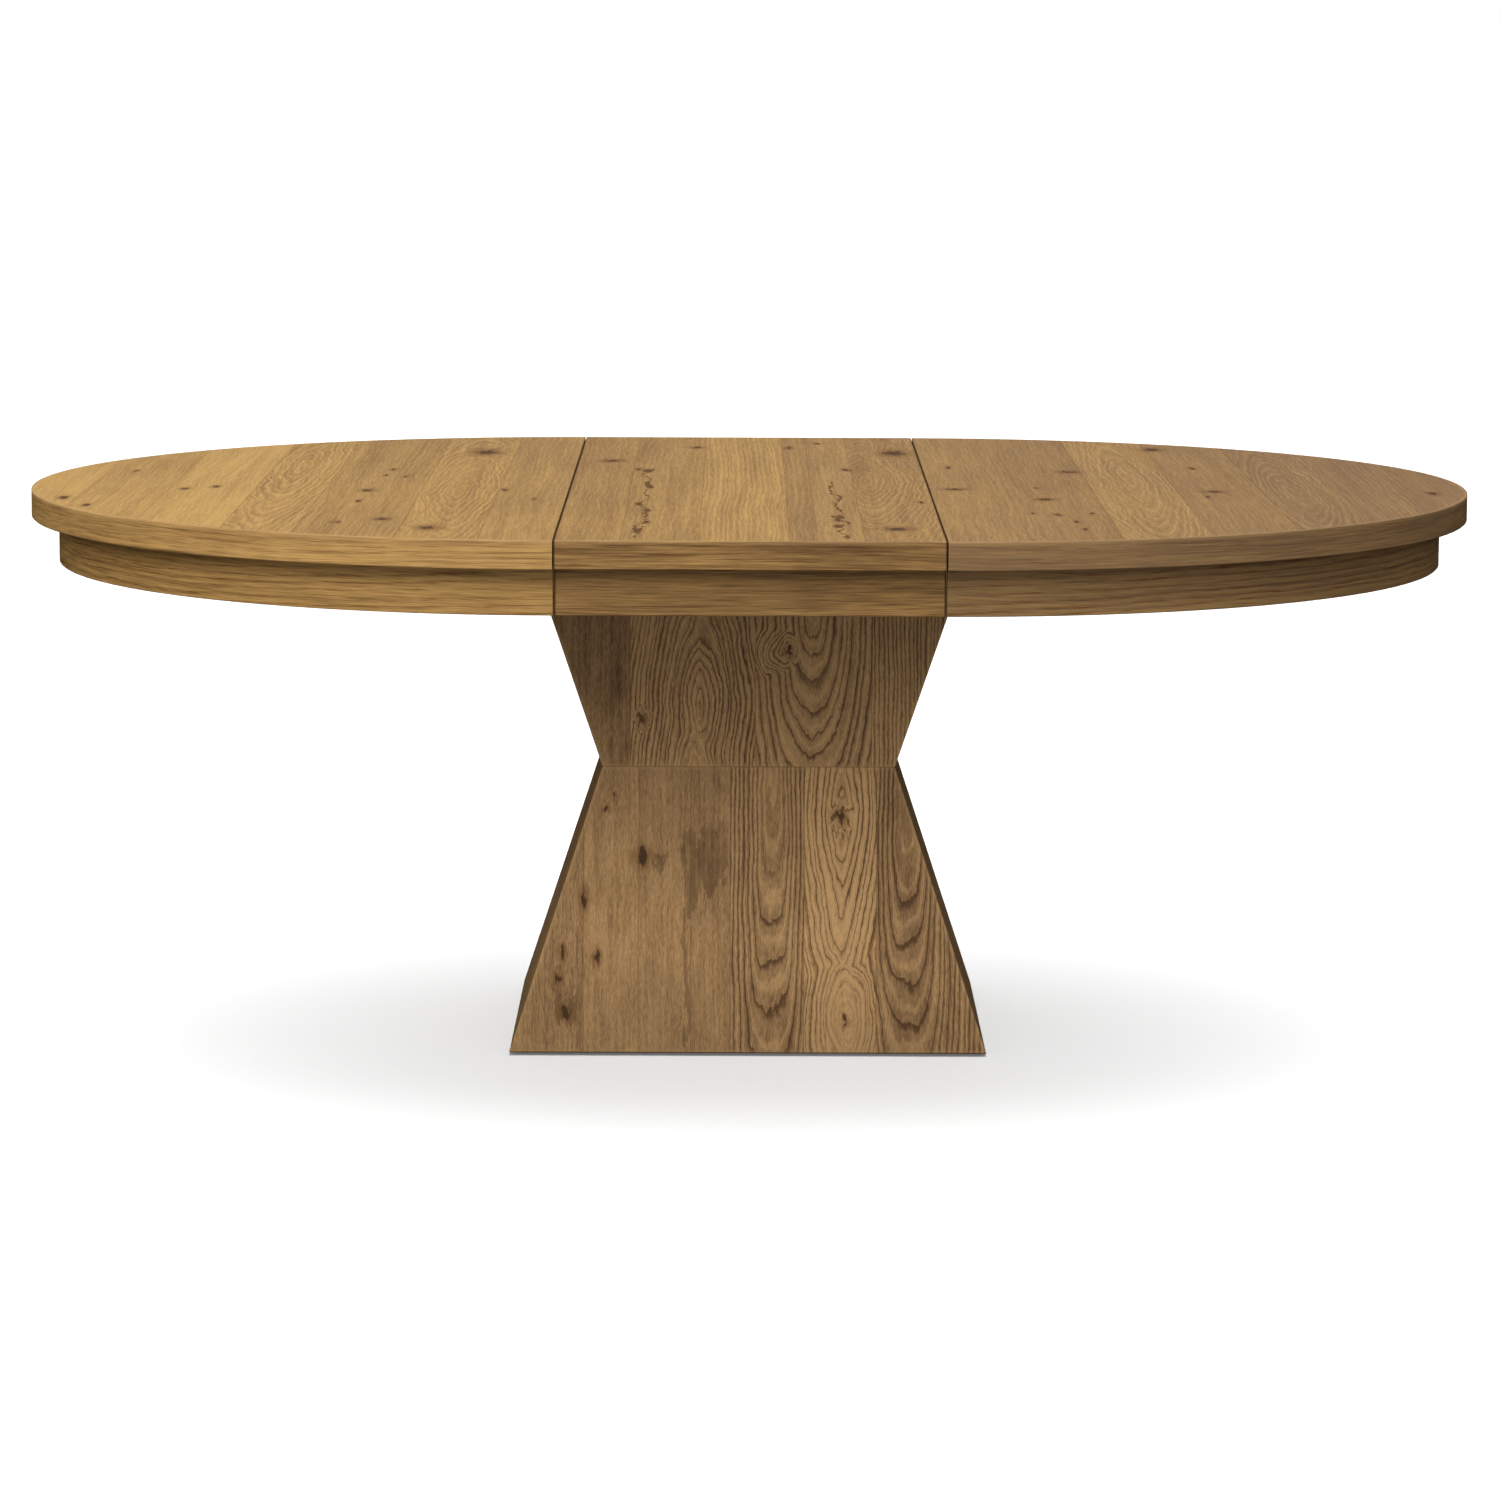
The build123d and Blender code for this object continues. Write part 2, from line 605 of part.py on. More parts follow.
def rack_outline():
    """The rack's corners: a toothed bar, with a stop at its inner end that meets the gear bracket's lip."""
    pitch = pi * MODULE
    tip_y, root_y = RACK_PITCH_Y - MODULE, RACK_PITCH_Y + 1.25 * MODULE
    at_pitch = (pitch - BACKLASH) / 4
    tip_half = at_pitch - MODULE * tan(PRESSURE_ANGLE)
    root_half = at_pitch + 1.25 * MODULE * tan(PRESSURE_ANGLE)
    inner_teeth = int((OPENING_TRAVEL + 2 * pitch) / pitch)
    outer_teeth = int((SEAM + 2 * pitch) / pitch)
    inner_end = -STOP_START - STOP_LENGTH
    corners = [(inner_end, root_y)]
    for tooth in range(-inner_teeth, outer_teeth):
        x = (tooth + 0.5) * pitch
        corners += [(x - root_half, root_y), (x - tip_half, tip_y)]
        corners += [(x + tip_half, tip_y), (x + root_half, root_y)]
    corners += [(RACK_OUTER_END, root_y), (RACK_OUTER_END, RACK_BACK_Y), (-STOP_START, RACK_BACK_Y)]
    corners += [(-STOP_START, RACK_BACK_Y + STOP_REACH), (inner_end, RACK_BACK_Y + STOP_REACH)]
    return corners


def half_rack(name, side):
    """The rack, and the hardwood block that hangs it from the top."""
    frame = half_frame(side)
    rack_screw_places = upward(frame, rack_screw_points, RACK_Z)
    with BuildPart() as rack:
        with BuildSketch(half_frame(side, RACK_Z)):
            with BuildLine():
                Polyline(*rack_outline(), close=True)
            make_face()
        extrude(amount=RACK_THICKNESS)
        with Locations(*rack_screw_places):
            Hole(SCREW_RADIUS + DRILL, RACK_THICKNESS)
    save(rack, f"{name}_rack")
    block_foot = RACK_Z + RACK_THICKNESS
    with BuildPart() as block:
        with BuildSketch(half_frame(side, block_foot)):
            with Locations((RACK_BLOCK_X[0], RACK_SCREW_Y)):
                Rectangle(RACK_BLOCK_X[1] - RACK_BLOCK_X[0], 32, align=(Align.MIN, Align.CENTER))
        extrude(amount=UNDERSIDE - block_foot)
        pilot_holes(upward(frame, rack_screw_points, block_foot), UNDERSIDE - block_foot)
    save(block, f"{name}_rack_block")


def battens(label, frame, underside, spans, screw_points):
    """Flat bars across the planks. Each span is (x from, x to, y, width)."""
    with BuildPart() as bars:
        with BuildSketch(frame.offset(underside - BATTEN[1])):
            for x_from, x_to, y, width in spans:
                with Locations((x_from, y)):
                    Rectangle(x_to - x_from, width, align=(Align.MIN, Align.CENTER))
        extrude(amount=BATTEN[1])
        chamfer(bars.faces().sort_by(Axis.Z)[: len(spans)].edges(), 3)
        screw_holes(upward(frame, screw_points, underside - BATTEN[1]), SUNK_HEAD, BATTEN[1])
    save(bars, label)


def make_half(name, side, face, direction):
    """Every piece that moves with one half."""
    frame = half_frame(side)
    runner_y = face + direction * (RUNNER_GAP + MOVING_WIDTH / 2)
    screw_x = [SEAM + step for step in (46, 206, 366, 526)]
    runner_points = [(x, sign * runner_y) for x in screw_x for sign in (-1, 1)]
    half_top(name, side, runner_points)
    half_edge_band(name, side)
    half_apron(name, side)
    for label, y_sign in (("front", -side), ("back", side)):
        moving_runner(f"{name}_runner_{label}", side, face, direction, y_sign, screw_x)
    runner_tie(f"{name}_runner_tie", side, runner_y - MOVING_WIDTH / 2)
    half_rack(name, side)
    spans = [(*outer_batten_span, y, BATTEN[0]) for y in (-OUTER_BATTEN_Y, OUTER_BATTEN_Y)]
    spans += [(*inner_batten_span, y, INNER_BATTEN) for y in (-INNER_BATTEN_Y, INNER_BATTEN_Y)]
    battens(f"{name}_battens", frame, UNDERSIDE, spans, batten_screw_points)
    with BuildPart() as pins:
        with BuildSketch(cross_frame(side, SEAM - PIN_REACH)):
            with Locations(*[(y, PIN_Z) for y in PIN_Y]):
                Circle(PIN_RADIUS)
        extrude(amount=PIN_REACH + PIN_DEPTH)
        chamfer(pins.edges(), 0.8)
    save(pins, f"{name}_locating_pins")
    runner_foot = UNDERSIDE - MOVING_HEIGHT
    runner_screw = MOVING_HEIGHT - RUNNER_COUNTERBORE + DEEP_BITE
    batten_foot = UNDERSIDE - BATTEN[1]
    tie_foot = UNDERSIDE - MOVING_TIE[1]
    screws(
        f"{name}_screws",
        [
            (upward(frame, runner_points, runner_foot), RUNNER_COUNTERBORE, runner_screw),
            (upward(frame, batten_screw_points, batten_foot), SUNK_HEAD, BATTEN[1] + SCREW_BITE),
            (upward(frame, tie_points, tie_foot), SUNK_HEAD, MOVING_TIE[1] + SCREW_BITE),
            (upward(frame, rack_screw_points, RACK_Z), 0, UNDERSIDE - RACK_Z + DEEP_BITE),
        ],
    )


make_half("left", -1, FIXED_OFFSET + FIXED_WIDTH / 2, 1)
make_half("right", 1, FIXED_OFFSET - FIXED_WIDTH / 2, -1)

# --- Leaf ------------------------------------------------------------------------------------------------

leaf_screw_points = both_signs(190, OUTER_BATTEN_Y) + both_signs(190, INNER_BATTEN_Y)
LEAF_THICKNESS = TABLE_HEIGHT - LEAF_UNDERSIDE

with BuildPart() as leaf_top:
    with BuildSketch(Plane.XY.offset(LEAF_UNDERSIDE)):
        Rectangle(2 * LEAF_EDGE, 2 * CORE_RADIUS)
    extrude(amount=LEAF_THICKNESS)
    chamfer(leaf_top.edges().group_by(Axis.Z)[-1].filter_by(Axis.Y), ARRIS)
    for leaf_side in (-1, 1):
        pin_slots(leaf_side, LEAF_EDGE, -SLOT_DEPTH, PIN_Y)
    pilot_holes(upward(Plane.XY, leaf_screw_points, LEAF_UNDERSIDE), INTO_TOP)
save(leaf_top, "leaf_top")

with BuildPart() as leaf_edge_bands:
    with BuildSketch(Plane.XY.offset(LEAF_UNDERSIDE)):
        with Locations((0, -HALF_RADIUS + BAND / 2), (0, HALF_RADIUS - BAND / 2)):
            Rectangle(2 * LEAF_EDGE, BAND)
    extrude(amount=LEAF_THICKNESS)
    faces_by_y = leaf_edge_bands.faces().sort_by(Axis.Y)
    for outer_face in (faces_by_y[0], faces_by_y[-1]):
        chamfer(outer_face.edges().filter_by(Axis.X), ARRIS)
save(leaf_edge_bands, "leaf_edge_bands")

for label, sign in (("leaf_apron_front", -1), ("leaf_apron_back", 1)):
    with BuildPart() as leaf_apron:
        with BuildSketch(Plane.XY.offset(APRON_FOOT)):
            with Locations((0, sign * (APRON_OUTER - APRON_THICKNESS / 2))):
                Rectangle(2 * LEAF_EDGE, APRON_THICKNESS)
        extrude(amount=LEAF_UNDERSIDE - APRON_FOOT)
        ease_apron(leaf_apron, LEAF_UNDERSIDE)
    save(leaf_apron, label)

with BuildPart() as leaf_apron_blocks:
    with BuildSketch(Plane.XY.offset(LEAF_UNDERSIDE - APRON_BLOCK[1])):
        with GridLocations(180, 2 * APRON_INNER - APRON_BLOCK[0], 3, 2):
            Rectangle(60, APRON_BLOCK[0])
    extrude(amount=APRON_BLOCK[1])
save(leaf_apron_blocks, "leaf_apron_blocks")

leaf_spans = [(-225, 225, y, BATTEN[0]) for y in (-OUTER_BATTEN_Y, OUTER_BATTEN_Y)]
leaf_spans += [(-225, 225, y, INNER_BATTEN) for y in (-INNER_BATTEN_Y, INNER_BATTEN_Y)]
battens("leaf_battens", Plane.XY, LEAF_UNDERSIDE, leaf_spans, leaf_screw_points)
leaf_screw_places = upward(Plane.XY, leaf_screw_points, LEAF_UNDERSIDE - BATTEN[1])
screws("leaf_screws", [(leaf_screw_places, SUNK_HEAD, BATTEN[1] + SCREW_BITE)])
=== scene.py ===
import math
from typing import NamedTuple

import bmesh
import bpy
from mathutils import Euler, Matrix, Vector


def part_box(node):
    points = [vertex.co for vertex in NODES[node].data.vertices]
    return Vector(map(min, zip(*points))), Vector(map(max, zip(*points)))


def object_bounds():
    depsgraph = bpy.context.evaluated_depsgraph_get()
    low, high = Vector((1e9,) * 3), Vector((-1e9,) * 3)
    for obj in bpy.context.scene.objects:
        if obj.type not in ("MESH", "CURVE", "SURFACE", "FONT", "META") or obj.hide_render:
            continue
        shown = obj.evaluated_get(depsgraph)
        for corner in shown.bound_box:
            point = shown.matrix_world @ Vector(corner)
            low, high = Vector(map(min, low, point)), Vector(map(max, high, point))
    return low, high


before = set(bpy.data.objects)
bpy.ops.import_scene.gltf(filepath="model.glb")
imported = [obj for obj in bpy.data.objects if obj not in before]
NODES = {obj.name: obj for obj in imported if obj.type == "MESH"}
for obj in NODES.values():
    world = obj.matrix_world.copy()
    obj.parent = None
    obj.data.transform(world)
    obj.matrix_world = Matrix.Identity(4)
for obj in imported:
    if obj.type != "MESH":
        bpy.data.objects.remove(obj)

CAD_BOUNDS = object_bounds()
MM = 0.001

# ---------------------------------------------------------------- sizes read from the frame
TABLE_HIGH = Vector(CAD_BOUNDS[1])
SEAM_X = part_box("leaf_top")[1].x
HALF_RADIUS = TABLE_HIGH.y
TOP_Z = TABLE_HIGH.z
APRON_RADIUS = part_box("leaf_apron_back")[1].y
BASE_LOW, BASE_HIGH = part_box("lower_front_panel")
WAIST_Z = BASE_HIGH.z
BASE_Z = BASE_LOW.z
BASE_HALF = (BASE_HIGH.x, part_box("lower_left_panel")[1].y)
CROWN_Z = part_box("upper_front_panel")[1].z
CROWN_HALF = (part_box("upper_front_panel")[1].x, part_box("upper_left_panel")[1].y)
WAIST_HALF = (0.204, 0.206)         # half its width and depth, which no node's box shows


# ---------------------------------------------------------------- arithmetic on shader values
class Signal:
    """A value in a node tree. Arithmetic on it adds Math nodes."""

    def __init__(self, tree, socket):
        self.tree = tree
        self.socket = socket

    def math(self, operation, *others):
        node = self.tree.nodes.new("ShaderNodeMath")
        node.operation = operation
        for index, value in enumerate((self, *others)):
            feed(self.tree, node.inputs[index], value)
        return Signal(self.tree, node.outputs[0])

    def __add__(self, other):
        return self.math("ADD", other)

    def __sub__(self, other):
        return self.math("SUBTRACT", other)

    def __mul__(self, other):
        return self.math("MULTIPLY", other)

    def __truediv__(self, other):
        return self.math("DIVIDE", other)

    def __rsub__(self, other):
        return self.math("MULTIPLY_ADD", -1.0, other)

    __radd__ = __add__
    __rmul__ = __mul__

    def times_plus(self, factor, addend):
        return self.math("MULTIPLY_ADD", factor, addend)

    def length_with(self, other):
        return (self * self + other * other).math("SQRT")

    def band(self, start, end, low=0.0, high=1.0):
        """Smooth step from low at start to high at end. start may be above end."""
        node = self.tree.nodes.new("ShaderNodeMapRange")
        node.interpolation_type = "SMOOTHSTEP"
        feed(self.tree, node.inputs["Value"], self)
        if start > end:
            start, end, low, high = end, start, high, low
        node.inputs["From Min"].default_value = start
        node.inputs["From Max"].default_value = end
        node.inputs["To Min"].default_value = low
        node.inputs["To Max"].default_value = high
        return Signal(self.tree, node.outputs["Result"])


def feed(tree, socket, value):
    """Link a signal to a socket, or set the socket's own value."""
    if isinstance(value, Signal):
        tree.links.new(value.socket, socket)
    else:
        socket.default_value = value


def point(tree, x, y, z):
    node = tree.nodes.new("ShaderNodeCombineXYZ")
    for socket, value in zip(node.inputs, (x, y, z)):
        feed(tree, socket, value)
    return Signal(tree, node.outputs[0])


def stretched(tree, vector, scale, shift=(0.0, 0.0, 0.0)):
    """The vector times scale plus shift."""
    node = tree.nodes.new("ShaderNodeVectorMath")
    node.operation = "MULTIPLY_ADD"
    feed(tree, node.inputs[0], vector)
    node.inputs[1].default_value = scale
    node.inputs[2].default_value = shift
    return Signal(tree, node.outputs[0])


def noise(tree, vector, scale, detail=2.0, roughness=0.5, shift=(0.0, 0.0, 0.0)):
    """Noise from 0 to 1 with its own number of cycles a metre on each axis."""
    node = tree.nodes.new("ShaderNodeTexNoise")
    feed(tree, node.inputs["Vector"], stretched(tree, vector, scale, shift))
    node.inputs["Scale"].default_value = 1.0
    node.inputs["Detail"].default_value = detail
    node.inputs["Roughness"].default_value = roughness
    return Signal(tree, node.outputs[0])


def extreme(operation, signals):
    """The MINIMUM or the MAXIMUM of some signals, or None if there are none."""
    result = None
    for signal in signals:
        result = signal if result is None else result.math(operation, signal)
    return result


def linear(red, green, blue):
    """A display colour from 0 to 255 as scene-linear RGBA."""
    def channel(value):
        value /= 255.0
        return value / 12.92 if value <= 0.04045 else ((value + 0.055) / 1.055) ** 2.4
    return (channel(red), channel(green), channel(blue), 1.0)


def mixed(tree, amount, first, second):
    """Colour between first and second."""
    node = tree.nodes.new("ShaderNodeMix")
    node.data_type = "RGBA"
    feed(tree, node.inputs[0], amount)
    feed(tree, node.inputs[6], first)
    feed(tree, node.inputs[7], second)
    return Signal(tree, node.outputs[2])


def new_material(name):
    material = bpy.data.materials.new(name)
    material.use_nodes = True
    tree = material.node_tree
    tree.nodes.clear()
    output = tree.nodes.new("ShaderNodeOutputMaterial")
    shader = tree.nodes.new("ShaderNodeBsdfPrincipled")
    tree.links.new(shader.outputs[0], output.inputs["Surface"])
    return material, tree, shader


BUMP_STRENGTH = 0.6


def finish_surface(tree, shader, colour, roughness, height, depth):
    """Plug in the colour, the roughness and a bump of the given depth in metres."""
    bump = tree.nodes.new("ShaderNodeBump")
    bump.inputs["Strength"].default_value = BUMP_STRENGTH
    bump.inputs["Distance"].default_value = depth
    feed(tree, bump.inputs["Height"], height)
    feed(tree, shader.inputs["Base Color"], colour)
    feed(tree, shader.inputs["Roughness"], roughness)
    tree.links.new(bump.outputs[0], shader.inputs["Normal"])


def position(tree):
    """The x, y and z of the object's own space, which is the table's frame at rest."""
    coordinates = tree.nodes.new("ShaderNodeTexCoord")
    split = tree.nodes.new("ShaderNodeSeparateXYZ")
    tree.links.new(coordinates.outputs["Object"], split.inputs[0])
    return [Signal(tree, output) for output in split.outputs]


# ---------------------------------------------------------------- grain directions
# Each returns across, along and depth of the boards, and the distance to the nearest outer edge.
def top_of_half(side):
    def axes(tree):
        x, y, z = position(tree)
        return x, y, z, HALF_RADIUS - (x - side * SEAM_X).length_with(y)
    return axes


def top_of_leaf(tree):
    x, y, z = position(tree)
    return x, y, z, HALF_RADIUS - y.math("ABSOLUTE")


def around_half(side, radius):
    """A bent board around one half, on edge: along runs round the arc."""
    def axes(tree):
        x, y, z = position(tree)
        out = (x - side * SEAM_X) * side
        angle = out.math("ARCTAN2", y * -1.0)
        return z, angle * (side * radius), out.length_with(y), (z - TOP_Z) * -1.0
    return axes


def along_x(tree):
    """A straight board on edge, facing y."""
    x, y, z = position(tree)
    return z, x, y, (z - TOP_Z) * -1.0


def along_y(tree):
    """Blocks and battens on the inside, whose edges aren't worn: the edge is always far off."""
    x, y, z = position(tree)
    return x, y, z, z * 0.0 + 1.0


def up_panel(axis, low, high):
    """Boards standing up in a tapering face. axis 0 runs across x, 1 across y."""
    (low_z, low_half), (high_z, high_half) = low, high
    slope = (high_half - low_half) / (high_z - low_z)

    def axes(tree):
        x, y, z = position(tree)
        across, depth = (x, y) if axis == 0 else (y, x)
        edge = z.times_plus(slope, low_half - slope * low_z) - across.math("ABSOLUTE")
        ends = (z - low_z).math("MINIMUM", high_z - z)
        return across, z, depth, edge.math("MINIMUM", ends)
    return axes


# ---------------------------------------------------------------- oak
UMBER = linear(112, 74, 36)         # open pores, glue lines and the wood around a knot
FILLER_AND_SHADE = linear(46, 26, 6)          # dirt in seams, and painted shade and a painted shadow line near the floor
CRACK_BROWN = linear(84, 50, 6)
SMOKE = linear(98, 73, 46)
RUBBED_AND_HIGHLIGHT = linear(196, 160, 112)      # worn outer edges, lighter, and a painted highlight along the arrises

# Patterns, in cycles a metre across, along and through the boards.
SWAY = (5.0, 1.8, 5.0)
WAVER = (30.0, 10.0, 30.0)
JAG = (140.0, 50.0, 140.0)
PATCH = (9.0, 2.6, 9.0)
POCKET = (30.0, 17.0, 30.0)
STREAK = (62.0, 1.5, 62.0)
FIBRE = (620.0, 18.0, 620.0)
THREAD = (420.0, 5.0, 420.0)
PORES_ACROSS = 850.0
YEARS = 110.0

# How far the patterns move the lines, in metres.
RING_SWAY = 0.014
RING_WAVER = 0.008
RING_DRIFT = 0.050
RING_RAGGED = 0.0070
KNOT_SWELL = 0.016
KNOT_BEND = (0.022, 0.040)
FIBRE_SWAY = 0.020
FIBRE_WAVER = 0.0026
SMEAR_TEAR = 0.026
CRACK_WANDER = 0.050

BOARD_SHIFT = 3.7                   # from one board's pattern to the next
EYE_BLEND = 0.006                   # width over which two ring figures merge
OAK_RELIEF = 0.0004
OAK_SPECULAR = 0.10


class DirtAndShade(NamedTuple):
    """A dark band around one level of one axis, in metres: none at reach away, all of it at core. Used for
    seam dirt and for painted shade at the foot of the base.
    """

    axis: int
    level: float
    reach: float
    core: float
    strength: float


class Finish(NamedTuple):
    """One oak finish: display colours, and strengths of its patterns."""

    pale: tuple
    deep: tuple
    grey: tuple
    ring: float                     # ring lines darker, or lighter if negative
    streak: float
    thread: float
    pores: float
    pore_reach: float = 75.0        # cycles a metre along a pore
    knot: tuple = (62, 34, 8)
    smoke: float = 0.0              # strength of the smears
    # dark bands: seam dirt, and painted shade at the foot of the base
    dirt_and_shade: tuple = ()
    gloss: float = 0.48             # roughness before wear


class Board(NamedTuple):
    """One board: lengths in millimetres."""

    tone: float                     # 0 pale to 1 deep
    grey: float
    eye: tuple                      # where the growth rings centre, across and along
    stretch: float                  # how many times longer than wide the rings are
    spacing: float                  # from ring to ring
    power: float = 2.0              # outline of the rings: 1 pointed, 2 round, 4 flat-ended
    lines: float = 1.0              # strength of the ring lines
    clear: float = 0.0              # no lines nearer to the eye than this
    wave: float = 1.0               # how much the lines wander


class Face:
    """Boards side by side: where a point lies on them, and how their lines wander."""

    def __init__(self, tree, axes, joints, boards, seed):
        self.tree = tree
        self.boards = boards
        self.across, self.along, depth, self.edge = axes(tree)
        self.steps = [self.across.math("GREATER_THAN", joint * MM) for joint in joints]
        self.number = self.by_board(range(len(boards)))
        self.layer = depth + self.number * BOARD_SHIFT + seed
        self.flow = point(tree, self.across, self.along, self.layer)
        self.sway = noise(tree, self.flow, SWAY, 1.0) - 0.5
        self.waver = noise(tree, self.flow, WAVER, 2.0, shift=(7.0, 3.0, 1.0)) - 0.5
        self.jag = noise(tree, self.flow, JAG, 2.0, 0.6, shift=(2.0, 9.0, 4.0)) - 0.5
        self.patch = noise(tree, self.flow, PATCH, 2.0, 0.55, shift=(1.0, 6.0, 3.0)) - 0.5

    def by_board(self, values):
        """A different number on each board, in order across."""
        values = [float(value) for value in values]
        total = values[0]
        for step, before, after in zip(self.steps, values, values[1:]):
            total = step.times_plus(after - before, total)
        return total

    def field(self, name, scale=1.0):
        """One of the boards' own numbers."""
        return self.by_board(getattr(board, name) * scale for board in self.boards)

    def eye(self, index):
        """Where the rings centre: 0 gives across, 1 along."""
        return self.by_board(board.eye[index] * MM for board in self.boards)


def nearest_spot(tree, plane, spots):
    """Distance to the nearest spot, counted in that spot's own half widths. None without spots."""
    distances = []
    for u, v, half_width, half_length in spots:
        size = (1.0 / (half_width * MM), 1.0 / (half_length * MM), 0.0)
        away = tree.nodes.new("ShaderNodeVectorMath")
        away.operation = "LENGTH"
        feed(tree, away.inputs[0], stretched(tree, plane, size, (-u / half_width, -v / half_length, 0.0)))
        distances.append(Signal(tree, away.outputs["Value"]))
    return extreme("MINIMUM", distances)


def knot_distance(face, knots):
    bend_across, bend_along = KNOT_BEND
    u = face.waver.times_plus(bend_across, face.across)
    v = face.jag.times_plus(bend_along, face.along)
    return nearest_spot(face.tree, point(face.tree, u, v, 0.0), knots)


def smear_distance(face, streak, smears):
    u = (face.waver + streak * 1.6).times_plus(SMEAR_TEAR, face.across)
    v = streak.times_plus(0.10, face.jag.times_plus(0.08, face.along))
    return nearest_spot(face.tree, point(face.tree, u, v, 0.0), smears)


def oval(across, along, eye_u, eye_v, stretch, power):
    """Distance from a heart eye: power 1 gives pointed rings, 2 round ones, 4 flat-ended ones."""
    side = (across - eye_u).math("ABSOLUTE").math("POWER", power)
    end = ((along - eye_v) / stretch).math("ABSOLUTE").math("POWER", power)
    inverse = power.math("POWER", -1.0) if isinstance(power, Signal) else 1.0 / power
    return (side + end).math("POWER", inverse)


def ring_radius(face, knot, eyes):
    """Distance from the heart of the growth rings, bent by the grain and by knots."""
    wave = face.field("wave")
    swayed = face.sway.times_plus(RING_SWAY, face.across)
    u = ((face.waver + face.patch) * wave).times_plus(RING_WAVER, swayed)
    v = (face.waver * wave).times_plus(RING_DRIFT, face.along)
    radius = oval(u, v, face.eye(0), face.eye(1), face.field("stretch"), face.field("power"))
    for board, eye_u, eye_v, stretch, power, tightness in eyes:
        other = oval(u, v, eye_u * MM, eye_v * MM, stretch, power) * tightness
        elsewhere = (face.number - float(board)).math("ABSOLUTE")
        radius = radius.math("SMOOTH_MIN", other + elsewhere, EYE_BLEND)
    ragged = face.by_board(RING_RAGGED / math.sqrt(board.stretch) for board in face.boards)
    radius = face.jag.times_plus(ragged, radius)
    return radius + knot.band(4.0, 0.6) * KNOT_SWELL if knot else radius


def ring_lines(face, radius):
    """Early wood, the same at each board's strength, and late wood: all are 0 between the lines."""
    lines = face.field("lines")
    years = noise(face.tree, point(face.tree, radius * YEARS, face.layer, 0.5), (1.0, 1.0, 1.0), 1.0) - 0.5
    ring = (years * 1.4 + radius / face.field("spacing", MM)).math("FRACT")
    end_share = ((face.along - face.eye(1)) / face.field("stretch")).math("ABSOLUTE") / radius
    early = ring.band(0.0, 0.05) * end_share.times_plus(0.12, ring).band(0.42, 0.12)
    late = ring.band(0.45, 0.60) * ring.band(0.85, 0.65)
    broken = (face.patch * face.field("wave")).times_plus(1.4, 0.95).math("MAXIMUM", 0.0)
    strength = early * lines * broken
    if any(board.clear for board in face.boards):
        strength = strength * (radius - face.field("clear", MM)).band(-0.004, 0.0)
    return early, strength, late * lines


def fine_grain(face, pore_reach):
    """Long streaks and fibre, from -0.5 to 0.5, and pores and dark threads, from 0 to 1."""
    tree = face.tree
    u = face.sway.times_plus(FIBRE_SWAY, face.waver.times_plus(FIBRE_WAVER, face.across))
    swayed = point(tree, u, face.along, face.layer)
    streak = noise(tree, swayed, STREAK, 4.0, 0.72) - 0.5
    fibre = noise(tree, swayed, FIBRE, 2.0, 0.65, shift=(3.0, 1.0, 8.0)) - 0.5
    dashes = noise(tree, swayed, (PORES_ACROSS, pore_reach, PORES_ACROSS), 1.0, 0.5, shift=(5.0, 2.0, 6.0))
    threads = noise(tree, swayed, THREAD, 2.0, 0.6, shift=(9.0, 4.0, 2.0))
    return streak, fibre, dashes.band(0.55, 0.67), threads.band(0.52, 0.64)


def glue_line(face, joints):
    """1 on the line between two boards. None without joints."""
    gap = extreme("MINIMUM", [(face.across - joint * MM).math("ABSOLUTE") for joint in joints])
    return gap and gap.band(0.0011, 0.0002)


def open_crack(face, cracks):
    """1 inside a crack, which wanders and opens into pockets. None without cracks."""
    if not cracks:
        return None
    pocket = noise(face.tree, face.flow, POCKET, 2.0, 0.6, shift=(6.0, 5.0, 2.0)) - 0.5
    pocket_width = pocket.math("MAXIMUM", 0.0) * 0.024
    width = (face.jag + 0.15).math("MAXIMUM", 0.0).times_plus(0.010, pocket_width)
    lines = []
    for u, start, end in cracks:
        gap = (face.across - u * MM + face.waver * CRACK_WANDER + face.jag * 0.014).math("ABSOLUTE")
        between_ends = (face.along - start * MM).band(0.0, 0.03) * (face.along - end * MM).band(0.0, -0.03)
        lines.append((gap - width).band(0.0006, -0.0004) * between_ends)
    return extreme("MAXIMUM", lines)


